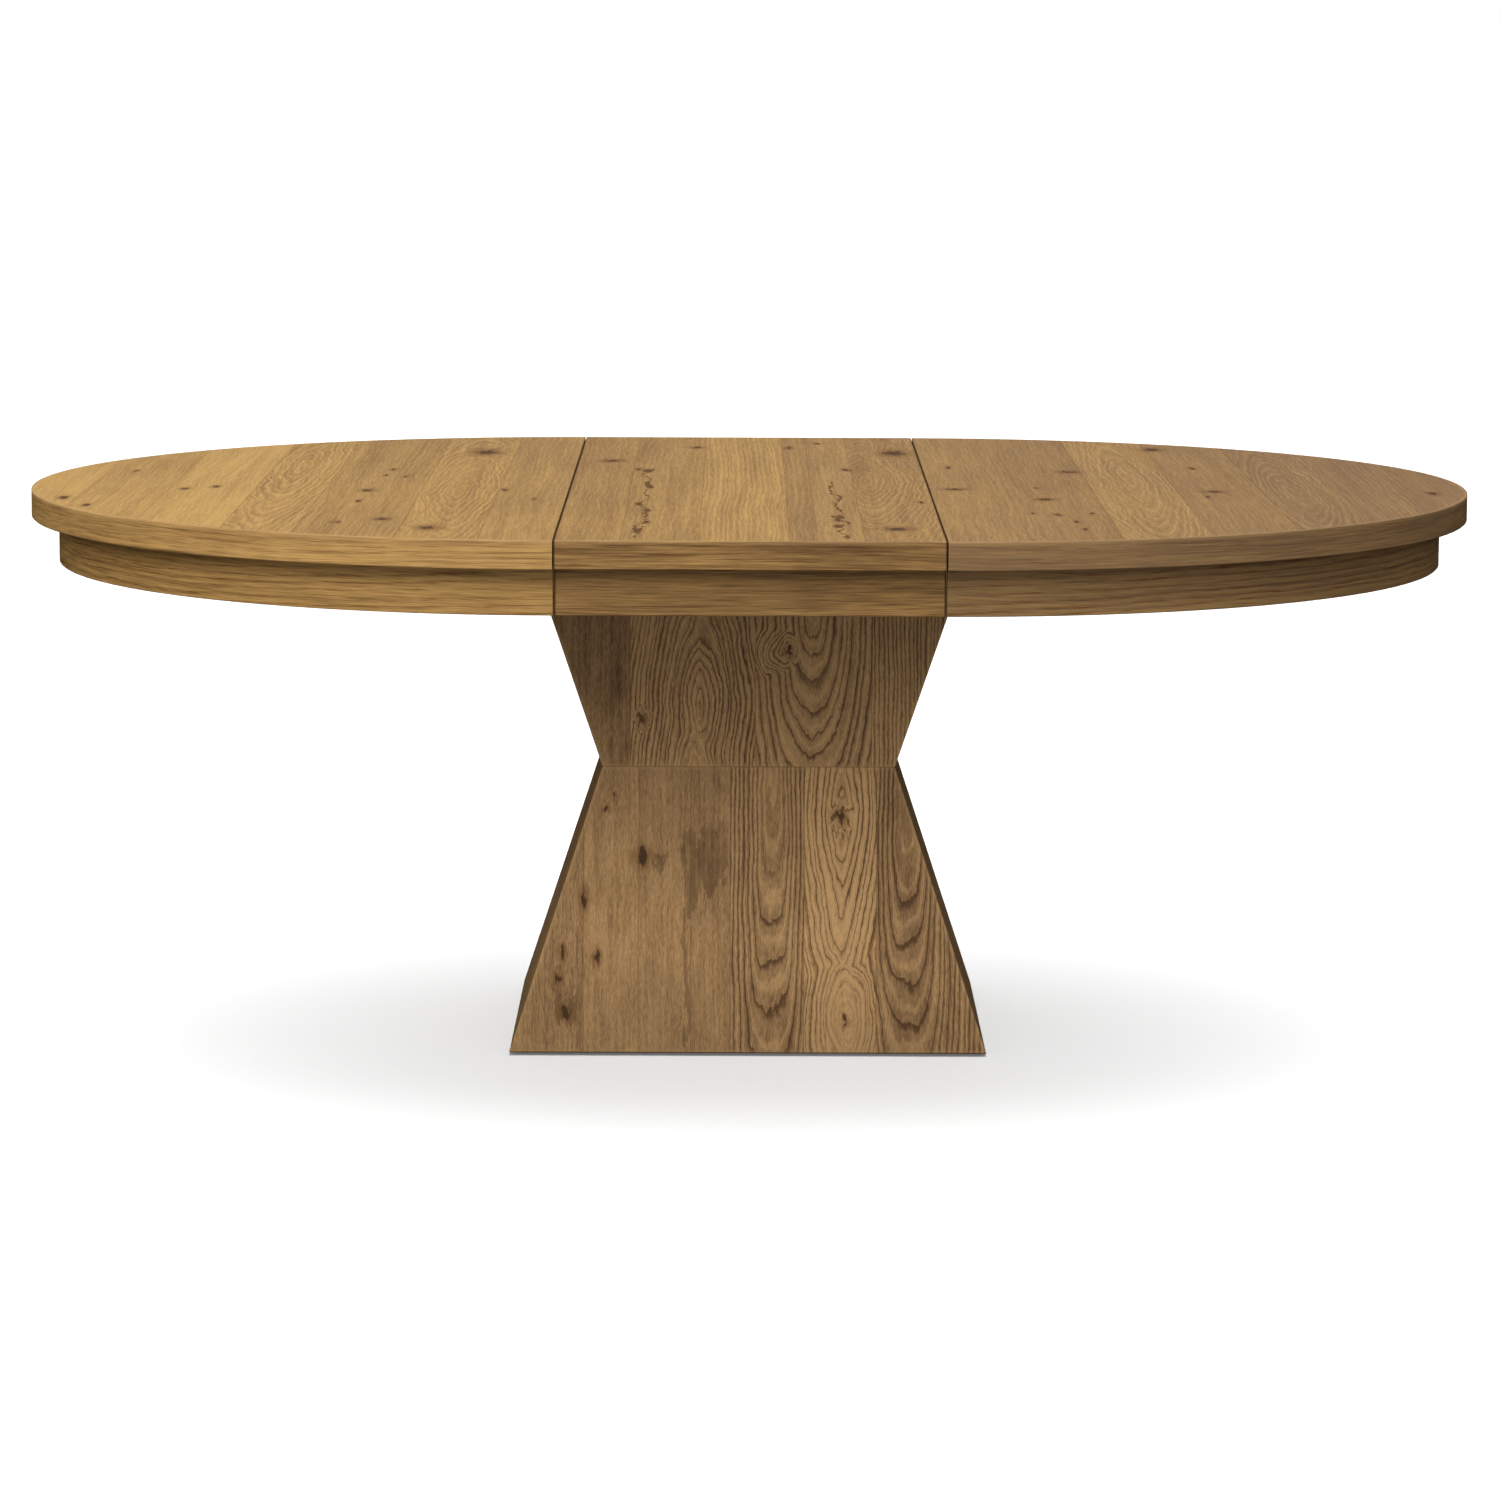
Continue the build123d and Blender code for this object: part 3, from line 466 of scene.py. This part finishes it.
def oak(name, axes, joints, boards, finish, knots=(), cracks=(), smears=(), eyes=(), seed=0.0, blotch=0.36):
    """Oak boards glued side by side.

    joints: millimetres across, where one board meets the next.
    knots and smears: across, along, half width, half length (mm).
    cracks: across, from, to (mm), filled with dark filler.
    eyes: more ring eyes, as board number, across, along (mm), stretch, power, tightness.
    """
    material, tree, shader = new_material(name)
    face = Face(tree, axes, joints, boards, seed)
    jag, patch = face.jag, face.patch
    knot = knot_distance(face, knots)
    early, ring, late = ring_lines(face, ring_radius(face, knot, eyes))
    streak, fibre, pore, thread = fine_grain(face, finish.pore_reach)

    shade = face.field("tone") + streak * finish.streak + fibre * finish.streak + thread * finish.thread
    shade = shade + (ring - late * 0.4) * finish.ring + patch * blotch
    colour = mixed(tree, shade.band(-0.3, 1.3), linear(*finish.pale), linear(*finish.deep))
    colour = mixed(tree, face.field("grey") + patch * 0.3, colour, linear(*finish.grey))
    dark_pore = pore * ring.times_plus(0.7, 0.3)
    colour = mixed(tree, dark_pore * finish.pores, colour, UMBER)
    height = fibre * 0.4 - dark_pore * 0.7 + early * -0.4

    glue = glue_line(face, joints)
    if glue:
        colour = mixed(tree, glue * 0.4, colour, UMBER)
        height = height - glue * 0.8
    smear = smear_distance(face, streak, smears)
    if smear:
        streaky = smear.band(1.15, 0.95) * (streak * 2.4 + 1.0)
        colour = mixed(tree, streaky * finish.smoke, colour, SMOKE)
    # Outer edges lighter: wear, and a painted highlight along the arrises.
    rub_and_highlight = face.edge.band(0.007, 0.0005) * (patch + 0.55) * 0.5
    colour = mixed(tree, rub_and_highlight, colour, RUBBED_AND_HIGHLIGHT)
    if knot:
        heart = (knot + jag * 1.8 + streak).band(1.15, 0.5)
        colour = mixed(tree, knot.band(2.8, 0.7) * 0.60, colour, UMBER)
        colour = mixed(tree, heart * 0.80, colour, linear(*finish.knot))
    # Dark bands: dirt in the seams, and painted shade and a painted shadow line along the foot of the base.
    for dirt_and_shade in finish.dirt_and_shade:
        gap = (position(tree)[dirt_and_shade.axis].math("ABSOLUTE") - dirt_and_shade.level).math("ABSOLUTE")
        colour = mixed(tree, gap.band(dirt_and_shade.reach, dirt_and_shade.core) * dirt_and_shade.strength, colour, FILLER_AND_SHADE)
    crack = open_crack(face, cracks)
    if crack:
        colour = mixed(tree, crack * 0.85, colour, CRACK_BROWN)
        height = height - crack * 1.2

    roughness = fibre * 0.16 + finish.gloss + rub_and_highlight * 0.2 + pore * 0.12
    shader.inputs["Specular IOR Level"].default_value = OAK_SPECULAR
    finish_surface(tree, shader, colour, roughness, height, OAK_RELIEF)
    return material


SEAM_DIRT = DirtAndShade(0, SEAM_X, 0.0025, 0.0009, 0.75)
# Painted shadow line along the foot of the base, and painted shade that grows darker towards the floor.
FOOT_SHADOW_LINE = DirtAndShade(2, BASE_Z, 0.0025, 0.0009, 0.75)
FOOT_SHADE = DirtAndShade(2, BASE_Z, 0.18, -0.02, 0.26)
TOP = Finish(
    (200, 160, 94), (112, 77, 40), (136, 110, 86), ring=-0.50, streak=0.90, thread=0.05, pores=0.50,
    dirt_and_shade=(SEAM_DIRT,))
RIM = Finish(
    (202, 160, 98), (84, 55, 26), (120, 96, 74), ring=0.10, streak=1.15, thread=0.30, pores=0.80,
    pore_reach=24.0, dirt_and_shade=(SEAM_DIRT,))
APRON = Finish(
    (198, 156, 94), (84, 55, 26), (118, 95, 74), ring=0.14, streak=1.10, thread=0.26, pores=0.75,
    pore_reach=20.0, dirt_and_shade=(SEAM_DIRT,))
CASE = Finish(
    (206, 164, 112), (80, 53, 30), (136, 108, 82), ring=0.72, streak=1.00, thread=0.05, pores=0.9,
    knot=(46, 30, 17), smoke=0.52, dirt_and_shade=(FOOT_SHADOW_LINE, FOOT_SHADE))
HIDDEN = Finish(
    (192, 156, 106), (120, 88, 54), (140, 114, 86), ring=0.20, streak=0.5, thread=0.1, pores=0.45, gloss=0.6)


def quiet(tone, grey, eye, stretch=20, spacing=8.0):
    """A board whose rings hardly show."""
    return Board(tone, grey, eye, stretch, spacing, lines=0.3, wave=2.0)


def figured(tone, grey, eye, stretch, lines, power=1.6):
    """A board with pointed, broken ring figures."""
    return Board(tone, grey, eye, stretch, 7.0, power, lines=lines, wave=2.6)


def one_board(tone, grey, eye=(3000, 200), lines=0.0):
    return (Board(tone, grey, eye, 16, 9.0, lines=lines),)


LEFT_TOP_BOARDS = (
    quiet(0.24, 0.00, (-1100, 0), spacing=7.0),
    quiet(0.36, 0.00, (-1000, 300), spacing=7.0),
    quiet(0.22, 0.00, (-600, -200), stretch=18),
    figured(0.40, 0.02, (-655, 260), 14, 0.85),
    quiet(0.50, 0.06, (-700, 80)),
    figured(0.50, 0.04, (-405, -120), 12, 0.65),
    quiet(0.52, 0.10, (-150, 70)),
)
LEAF_BOARDS = (
    quiet(0.60, 0.08, (-350, 80)),
    quiet(0.56, 0.08, (60, -300), stretch=18),
    Board(0.46, 0.06, (-150, 90), 20, 7.0, lines=0.6),
    Board(0.68, 0.16, (-80, 60), 20, 8.0, lines=0.3),
    quiet(0.52, 0.18, (260, 70)),
    figured(0.62, 0.16, (168, 60), 9, 0.75, power=1.5),
)
RIGHT_TOP_BOARDS = (
    quiet(0.58, 0.20, (120, 70)),
    quiet(0.66, 0.24, (600, 80)),
    figured(0.50, 0.22, (545, 120), 16, 0.75),
    quiet(0.66, 0.30, (440, 90)),
    figured(0.74, 0.38, (765, -100), 13, 0.85),
    Board(0.80, 0.42, (720, 60), 20, 8.0, lines=0.5),
    quiet(0.76, 0.42, (1180, 80)),
)
top_materials = {
    "left_top": oak(
        "oak_left_top", top_of_half(-1), (-930, -816, -696, -597, -460, -352), LEFT_TOP_BOARDS, TOP,
        knots=(
            (-396, 490, 16, 36), (-423, -607, 12, 24), (-535, -107, 8, 18), (-490, -500, 9, 13),
            (-550, -541, 4, 12), (-757, -59, 5, 14), (-794, -92, 4, 13), (-949, -224, 5, 20),
            (-903, -326, 4, 16), (-892, 173, 3, 12), (-523, 204, 3, 14), (-527, 117, 3, 11),
            (-495, 97, 3, 11), (-539, -260, 3, 14), (-299, -224, 3, 13), (-342, -92, 4, 18),
        ),
        seed=1.3,
    ),
    "leaf_top": oak(
        "oak_leaf_top", top_of_leaf, (-168, -66, 51, 87, 148), LEAF_BOARDS, TOP,
        knots=(
            (-204, 357, 14, 18), (219, 495, 15, 38), (197, -607, 13, 20), (-80, 581, 7, 16),
            (59, 581, 5, 18), (104, 653, 4, 13), (143, 224, 5, 18), (235, -255, 3, 13),
            (-161, 224, 4, 16), (-150, 194, 3, 11), (-139, -530, 4, 12), (118, -500, 4, 12),
        ),
        cracks=((-146, -740, 240), (121, -740, 60)),
        seed=4.1,
    ),
    "right_top": oak(
        "oak_right_top", top_of_half(1), (362, 484, 602, 722, 831, 950), RIGHT_TOP_BOARDS, TOP,
        knots=(
            (467, 202, 11, 15), (410, -204, 11, 16), (617, 571, 13, 24), (655, -87, 12, 14),
            (289, -66, 12, 12), (291, 265, 3, 20), (385, -398, 3, 10), (415, -416, 4, 14),
            (464, -396, 3, 11), (436, -508, 4, 12), (439, -600, 3, 13), (408, -41, 3, 11),
            (650, 265, 3, 18), (638, -163, 3, 11), (959, -102, 7, 20),
        ),
        seed=7.9,
    ),
}

band_materials = {
    "left_edge_band": oak(
        "oak_left_band", around_half(-1, HALF_RADIUS), (), one_board(0.33, 0.0), RIM, seed=2.0),
    "right_edge_band": oak(
        "oak_right_band", around_half(1, HALF_RADIUS), (), one_board(0.55, 0.55), RIM, seed=5.0),
    "leaf_edge_bands": oak(
        "oak_leaf_band", along_x, (), one_board(0.72, 0.10), RIM, seed=8.0, blotch=1.1),
    "left_apron": oak(
        "oak_left_apron", around_half(-1, APRON_RADIUS), (), one_board(0.32, 0.0, (770, -860), 1.4), APRON,
        seed=11.0),
    "right_apron": oak(
        "oak_right_apron", around_half(1, APRON_RADIUS), (), one_board(0.46, 0.42, (630, 720), 2.0), APRON,
        seed=12.0),
    "leaf_apron_front": oak("oak_leaf_apron_front", along_x, (), one_board(0.58, 0.08), APRON, seed=13.0),
    "leaf_apron_back": oak("oak_leaf_apron_back", along_x, (), one_board(0.58, 0.08), APRON, seed=14.0),
}

LOWER_X = up_panel(0, (BASE_Z, BASE_HALF[0]), (WAIST_Z, WAIST_HALF[0]))
LOWER_Y = up_panel(1, (BASE_Z, BASE_HALF[1]), (WAIST_Z, WAIST_HALF[1]))
UPPER_X = up_panel(0, (WAIST_Z, WAIST_HALF[0]), (CROWN_Z, CROWN_HALF[0]))
UPPER_Y = up_panel(1, (WAIST_Z, WAIST_HALF[1]), (CROWN_Z, CROWN_HALF[1]))

LOWER_FRONT_BOARDS = (
    Board(0.48, 0.06, (-420, 150), 20, 7.0, lines=0.20, wave=2.0),
    Board(0.40, 0.06, (-330, 70), 20, 9.0, lines=0.10),
    Board(0.42, 0.10, (40, 350), 20, 9.0, lines=0.12),
    Board(0.44, 0.10, (-220, 60), 18, 9.0, lines=0.12),
    Board(0.50, 0.10, (30, 424), 11.2, 6.5, 4.0, clear=17),
    Board(0.20, 0.08, (128, 334), 5, 7.0, 1.4, lines=1.3, wave=1.5),
    Board(0.56, 0.10, (224, 390), 8.7, 6.5, 3.5, clear=18),
)
UPPER_FRONT_BOARDS = (
    Board(0.57, 0.04, (-420, 500), 20, 8.0, lines=0.15),
    Board(0.40, 0.10, (-65, 494), 3.2, 6.0, 1.6, wave=1.5),
    Board(0.36, 0.12, (90, 640), 4.2, 9.0, 2.4),
    Board(0.38, 0.10, (330, 560), 12, 6.0, lines=0.8),
)
SIDE_BOARDS = (
    Board(0.50, 0.10, (-330, 50), 20, 8.0, lines=0.2),
    Board(0.40, 0.08, (-92, 330), 8, 7.0, 1.8),
    Board(0.54, 0.12, (-120, 60), 20, 8.0, lines=0.2),
    Board(0.42, 0.10, (100, 60), 11, 6.5, 3.5, clear=14),
    Board(0.50, 0.10, (320, 60), 20, 8.0, lines=0.3),
)
BACK_BOARDS = (
    Board(0.48, 0.10, (-430, 50), 20, 8.0, lines=0.2),
    Board(0.52, 0.10, (-150, 400), 10, 6.5, 3.5, clear=16),
    Board(0.34, 0.08, (-200, 60), 20, 8.0, lines=0.15),
    Board(0.48, 0.10, (96, 300), 6, 7.0, 1.5),
    Board(0.42, 0.08, (360, 60), 20, 8.0, lines=0.2),
)
case_materials = {
    "lower_front_panel": oak(
        "oak_lower_front", LOWER_X, (-230, -153, -80, -25, 78, 179), LOWER_FRONT_BOARDS, CASE,
        knots=(
            (-148, 272, 9, 10), (-256, 58, 7, 9), (-268, 104, 4, 8), (-262, 142, 3, 9), (-228, 214, 4, 13),
            (-197, 340, 3, 6), (-186, 358, 2, 5), (-213, 136, 5, 8), (137, 48, 3, 6), (128, 330, 5, 8),
        ),
        smears=(
            (-254, 60, 17, 30), (-124, 268, 8, 14), (-80, 254, 15, 60), (-50, 270, 22, 42),
            (-86, 110, 4, 105),
        ),
        eyes=((5, 137, 50, 2.2, 2.0, 1.3),),
        seed=21.0,
    ),
    "upper_front_panel": oak(
        "oak_upper_front", UPPER_X, (-165, 9, 171), UPPER_FRONT_BOARDS, CASE,
        knots=((54, 565, 3, 4), (-149, 466, 4, 5)),
        eyes=((1, -74, 390, 3.2, 1.6, 1.0), (2, 54, 565, 1, 2.0, 1.5)),
        seed=22.0,
    ),
    "lower_back_panel": oak(
        "oak_lower_back", LOWER_X, (-210, -90, 40, 150), BACK_BOARDS, CASE,
        knots=((-20, 120, 7, 9), (190, 300, 3, 7)), seed=23.0),
    "upper_back_panel": oak(
        "oak_upper_back", UPPER_X, (-180, -70, 45, 160), BACK_BOARDS, CASE,
        knots=((-120, 600, 5, 8),), seed=24.0),
}
for index, side in enumerate(("left", "right")):
    for level, axes in (("lower", LOWER_Y), ("upper", UPPER_Y)):
        case_materials[f"{level}_{side}_panel"] = oak(
            f"oak_{level}_{side}", axes, (-140, -45, 50, 150), SIDE_BOARDS, CASE,
            knots=((-20, 150 + 80 * index, 5, 8), (170, 250 + 60 * index, 4, 7)),
            seed=32.0 + 3.0 * index)

BLOCKS = oak("oak_blocks", along_y, (), one_board(0.5, 0.15), HIDDEN, seed=41.0)


# ---------------------------------------------------------------- plain woods, metals and plastic
PLAIN_SPECULAR = 0.3
PLAIN_RELIEF = 0.0003
METAL_RELIEF = 0.00012
NYLON_RELIEF = 0.0001
PLIES = 715.0                       # plies a metre


def plain_wood(name, pale, deep, scale, gloss):
    """Fine even grain along one axis: scale gives cycles a metre on x, y and z."""
    material, tree, shader = new_material(name)
    place = point(tree, *position(tree))
    slow = noise(tree, place, tuple(value * 0.08 for value in scale), 2.0) - 0.5
    grain = noise(tree, place, scale, 3.0, 0.6, shift=(4.0, 2.0, 7.0)) - 0.5
    fleck = noise(tree, place, tuple(value * 4.0 for value in scale), 1.0).band(0.60, 0.72)
    shade = (grain * 0.9 + slow * 0.8 + 0.5).band(0.0, 1.0)
    colour = mixed(tree, shade, linear(*pale), linear(*deep))
    colour = mixed(tree, fleck * 0.25, colour, linear(*(value * 0.6 for value in deep)))
    shader.inputs["Specular IOR Level"].default_value = PLAIN_SPECULAR
    finish_surface(tree, shader, colour, grain * 0.15 + gloss, grain * 0.4 - fleck * 0.6, PLAIN_RELIEF)
    return material


def birch_ply(name):
    """Pale rotary-cut face, with the plies showing as stripes on upright edges."""
    material, tree, shader = new_material(name)
    x, y, z = position(tree)
    place = point(tree, x, y, z)
    wave = noise(tree, place, (3.0, 9.0, 3.0), 2.0) - 0.5
    face = noise(tree, place, (60.0, 6.0, 60.0), 3.0, 0.6) - 0.5
    rings = ((y * 22.0 + wave * 3.0).math("FRACT") - 0.5).math("ABSOLUTE")
    ply = (z * PLIES + wave * 0.1).math("FRACT")
    stripe = ply.band(0.40, 0.50) * ply.band(1.0, 0.90)
    geometry = tree.nodes.new("ShaderNodeNewGeometry")
    split = tree.nodes.new("ShaderNodeSeparateXYZ")
    tree.links.new(geometry.outputs["Normal"], split.inputs[0])
    upright = Signal(tree, split.outputs[2]).math("ABSOLUTE").band(0.7, 0.3)
    shade = (face * 0.6 + rings * 0.35 + 0.25) * (1.0 - upright) + stripe * upright * 0.9 + face * 0.2
    colour = mixed(tree, shade.band(0.0, 1.0), linear(214, 186, 140), linear(150, 112, 72))
    shader.inputs["Specular IOR Level"].default_value = PLAIN_SPECULAR
    height = face * 0.4 - stripe * upright * 0.8
    finish_surface(tree, shader, colour, face * 0.15 + 0.62, height, PLAIN_RELIEF)
    return material


def brushed_metal(name, bright, dull, gloss, scratch=(900.0, 60.0, 900.0)):
    """Plated or machined metal with fine scratches, dull patches and grime."""
    material, tree, shader = new_material(name)
    place = point(tree, *position(tree))
    patch = noise(tree, place, (90.0, 90.0, 90.0), 3.0, 0.6)
    scratches = noise(tree, place, scratch, 2.0, 0.6, shift=(2.0, 5.0, 1.0))
    grime = noise(tree, place, (240.0, 240.0, 240.0), 2.0, 0.7, shift=(8.0, 1.0, 3.0)).band(0.60, 0.78)
    colour = mixed(tree, patch.band(0.35, 0.65), linear(*bright), linear(*dull))
    colour = mixed(tree, grime * 0.45, colour, linear(70, 62, 52))
    shader.inputs["Metallic"].default_value = 1.0
    roughness = patch * 0.16 + scratches * 0.12 + grime * 0.25 + (gloss - 0.14)
    finish_surface(tree, shader, colour, roughness, scratches * 0.6 - grime * 0.4, METAL_RELIEF)
    return material


def moulded_nylon(name):
    """Near-black plastic with a fine moulded texture and pale scuffs."""
    material, tree, shader = new_material(name)
    place = point(tree, *position(tree))
    grain = noise(tree, place, (1400.0, 1400.0, 1400.0), 2.0, 0.6)
    scuff = noise(tree, place, (300.0, 90.0, 300.0), 2.0, 0.6, shift=(3.0, 7.0, 2.0)).band(0.58, 0.74)
    colour = mixed(tree, grain.band(0.3, 0.7), linear(26, 25, 24), linear(44, 42, 40))
    colour = mixed(tree, scuff * 0.35, colour, linear(96, 92, 86))
    roughness = grain * 0.12 + 0.46 + scuff * 0.15
    finish_surface(tree, shader, colour, roughness, grain * 0.5 - scuff * 0.3, NYLON_RELIEF)
    return material


BEECH = plain_wood("beech", (206, 168, 124), (166, 122, 82), (5.7, 190.0, 190.0), 0.5)
PLY = birch_ply("birch_ply")
ZINC = brushed_metal("zinc_plated_steel", (206, 206, 200), (164, 166, 168), 0.34)
STEEL = brushed_metal("machined_steel", (150, 148, 146), (108, 106, 106), 0.38, (60.0, 900.0, 900.0))
BRASS = brushed_metal("brass", (214, 176, 104), (170, 130, 72), 0.32, (60.0, 900.0, 900.0))
NYLON = moulded_nylon("black_nylon")

SHARED = {
    BLOCKS: (
        "lower_corner_blocks", "upper_corner_blocks", "left_apron_blocks", "right_apron_blocks",
        "leaf_apron_blocks", "left_battens", "right_battens", "leaf_battens", "left_rack_block",
        "right_rack_block"),
    BEECH: (
        "fixed_runner_front", "fixed_runner_back", "runner_tie_left", "runner_tie_right",
        "left_runner_front", "left_runner_back", "right_runner_front", "right_runner_back",
        "left_runner_tie", "right_runner_tie"),
    PLY: ("base_board", "lower_waist_board", "upper_waist_board", "crown_board"),
    ZINC: (
        "waist_bolts", "waist_nuts", "runner_bolts", "gear_bracket", "bracket_screws", "tie_screws",
        "glide_screws", "left_screws", "right_screws", "leaf_screws"),
    STEEL: ("equalizer_gear", "gear_axle", "left_rack", "right_rack"),
    BRASS: ("bolt_inserts", "left_locating_pins", "right_locating_pins"),
    NYLON: ("floor_glides",),
}
materials = {**top_materials, **band_materials, **case_materials}
for material, names in SHARED.items():
    materials.update({name: material for name in names})
for name, material in materials.items():
    NODES[name].data.materials.clear()
    NODES[name].data.materials.append(material)
unfinished = sorted(set(NODES) - set(materials))
if unfinished:
    raise ValueError(f"no finish for {unfinished}")


# ---------------------------------------------------------------- studio
REACH = 110.0                       # half width of the floor and radius of the backdrop


def staged(name, mesh, colour, glow):
    """A piece of the studio, seen by the camera but not reflected or bouncing light."""
    prop = bpy.data.objects.new(name, mesh)
    bpy.context.scene.collection.objects.link(prop)
    prop.visible_diffuse = False
    prop.visible_glossy = False
    paint, _, shader = new_material(name)
    shader.inputs["Base Color"].default_value = (colour, colour, colour, 1.0)
    shader.inputs["Roughness"].default_value = 1.0
    shader.inputs["Specular IOR Level"].default_value = 0.0
    shader.inputs["Emission Color"].default_value = (1.0, 1.0, 1.0, 1.0)
    shader.inputs["Emission Strength"].default_value = glow
    mesh.materials.append(paint)
    return prop


corners = [(x * REACH, y * REACH, 0.0) for x, y in ((-1, -1), (1, -1), (1, 1), (-1, 1))]
floor_mesh = bpy.data.meshes.new("studio_floor")
floor_mesh.from_pydata(corners, [], [(0, 1, 2, 3)])
floor = staged("studio_floor", floor_mesh, colour=0.5, glow=0.125)

dome_mesh = bpy.data.meshes.new("studio_backdrop")
shell = bmesh.new()
bmesh.ops.create_uvsphere(shell, u_segments=32, v_segments=16, radius=REACH)
shell.to_mesh(dome_mesh)
shell.free()
dome = staged("studio_backdrop", dome_mesh, colour=0.0, glow=1.0)
dome.visible_shadow = False
dome.visible_transmission = False

# Soft light from the front and from above, given by direction.
world = bpy.data.worlds.new("studio")
bpy.context.scene.world = world
world.use_nodes = True
sky = world.node_tree
sky.nodes.clear()
direction = sky.nodes.new("ShaderNodeTexCoord")
split = sky.nodes.new("ShaderNodeSeparateXYZ")
sky.links.new(direction.outputs["Generated"], split.inputs[0])
east, north, up = (Signal(sky, output) for output in split.outputs)
from_front = (east * -0.05 - north).band(0.0, 1.0) * up.band(-0.10, 0.30, 0.64, 1.12)
from_above = up.band(-0.1, 1.0, 0.0, 0.96)
background = sky.nodes.new("ShaderNodeBackground")
feed(sky, background.inputs["Strength"], from_front + from_above)
output = sky.nodes.new("ShaderNodeOutputWorld")
sky.links.new(background.outputs[0], output.inputs["Surface"])


def softbox(name, azimuth, elevation, distance, width, height, power, colour=(1.0, 1.0, 1.0)):
    """Area light aimed at the table. Azimuth runs from the front (-y) towards the left (-x)."""
    light = bpy.data.lights.new(name, "AREA")
    light.shape = "RECTANGLE"
    light.size = width
    light.size_y = height
    light.energy = power
    light.color = colour
    lamp = bpy.data.objects.new(name, light)
    bpy.context.scene.collection.objects.link(lamp)
    flat = math.cos(math.radians(elevation)) * distance
    target = Vector((0.0, 0.0, 0.5))
    place = target + Vector((
        -math.sin(math.radians(azimuth)) * flat,
        -math.cos(math.radians(azimuth)) * flat,
        math.sin(math.radians(elevation)) * distance,
    ))
    lamp.location = place
    lamp.rotation_euler = (target - place).to_track_quat("-Z", "Y").to_euler()
    return lamp


key = softbox(
    "key_softbox", azimuth=27.0, elevation=28.5, distance=4.6, width=2.8, height=2.0, power=74.0,
    colour=(1.0, 0.97, 0.90))
softbox(
    "overhead_softbox", azimuth=10.0, elevation=85.0, distance=3.4, width=3.6, height=3.0, power=44.0,
    colour=(1.0, 0.985, 0.96))
fill = softbox("back_fill", azimuth=180.0, elevation=12.0, distance=5.0, width=4.0, height=2.0, power=80.0)
fill.visible_glossy = False

all_but_floor = bpy.data.collections.new("all_but_floor")
all_but_floor.objects.link(floor)
all_but_floor.collection_objects[0].light_linking.link_state = "EXCLUDE"
for lamp in (key, fill):
    lamp.light_linking.receiver_collection = all_but_floor

floor_alone = bpy.data.collections.new("floor_alone")
floor_alone.objects.link(floor)
contact_blockers = bpy.data.collections.new("contact_blockers")
contact_blockers.objects.link(NODES["base_board"])
for side in ("front", "back", "left", "right"):
    contact_blockers.objects.link(NODES[f"lower_{side}_panel"])


def floor_light(name, energy, angle, tilt):
    """Far light that falls on the floor alone, from the back by tilt degrees."""
    light = bpy.data.lights.new(name, "SUN")
    light.energy = energy
    light.angle = math.radians(angle)
    lamp = bpy.data.objects.new(name, light)
    bpy.context.scene.collection.objects.link(lamp)
    lamp.rotation_euler = (math.radians(-tilt), 0.0, 0.0)
    lamp.light_linking.receiver_collection = floor_alone
    return lamp


floor_light("floor_wash", energy=3.0, angle=85.0, tilt=22.0)
contact = floor_light("contact_light", energy=2.9, angle=10.0, tilt=0.0)
contact.light_linking.blocker_collection = contact_blockers

# ---------------------------------------------------------------- camera
CAMERA_PLACE = (-0.0143, -7.709, 1.5178)
CAMERA_LENS = 130.4                 # millimetres, on a sensor 36 wide
CAMERA_DOWN = 0.14493               # radians
CAMERA_TURN = -0.00214
CAMERA_ROLL = 0.00373
camera_data = bpy.data.cameras.new("camera")
camera_data.sensor_width = 36.0
camera_data.lens = CAMERA_LENS
camera_data.clip_end = 4.0 * REACH
camera = bpy.data.objects.new("camera", camera_data)
bpy.context.scene.collection.objects.link(camera)
camera.location = CAMERA_PLACE
aim = Euler((math.pi / 2 - CAMERA_DOWN, 0.0, CAMERA_TURN), "XYZ").to_matrix()
camera.rotation_euler = (aim @ Matrix.Rotation(CAMERA_ROLL, 3, "Z")).to_euler()
bpy.context.scene.camera = camera
bpy.context.scene.view_settings.view_transform = "Standard"
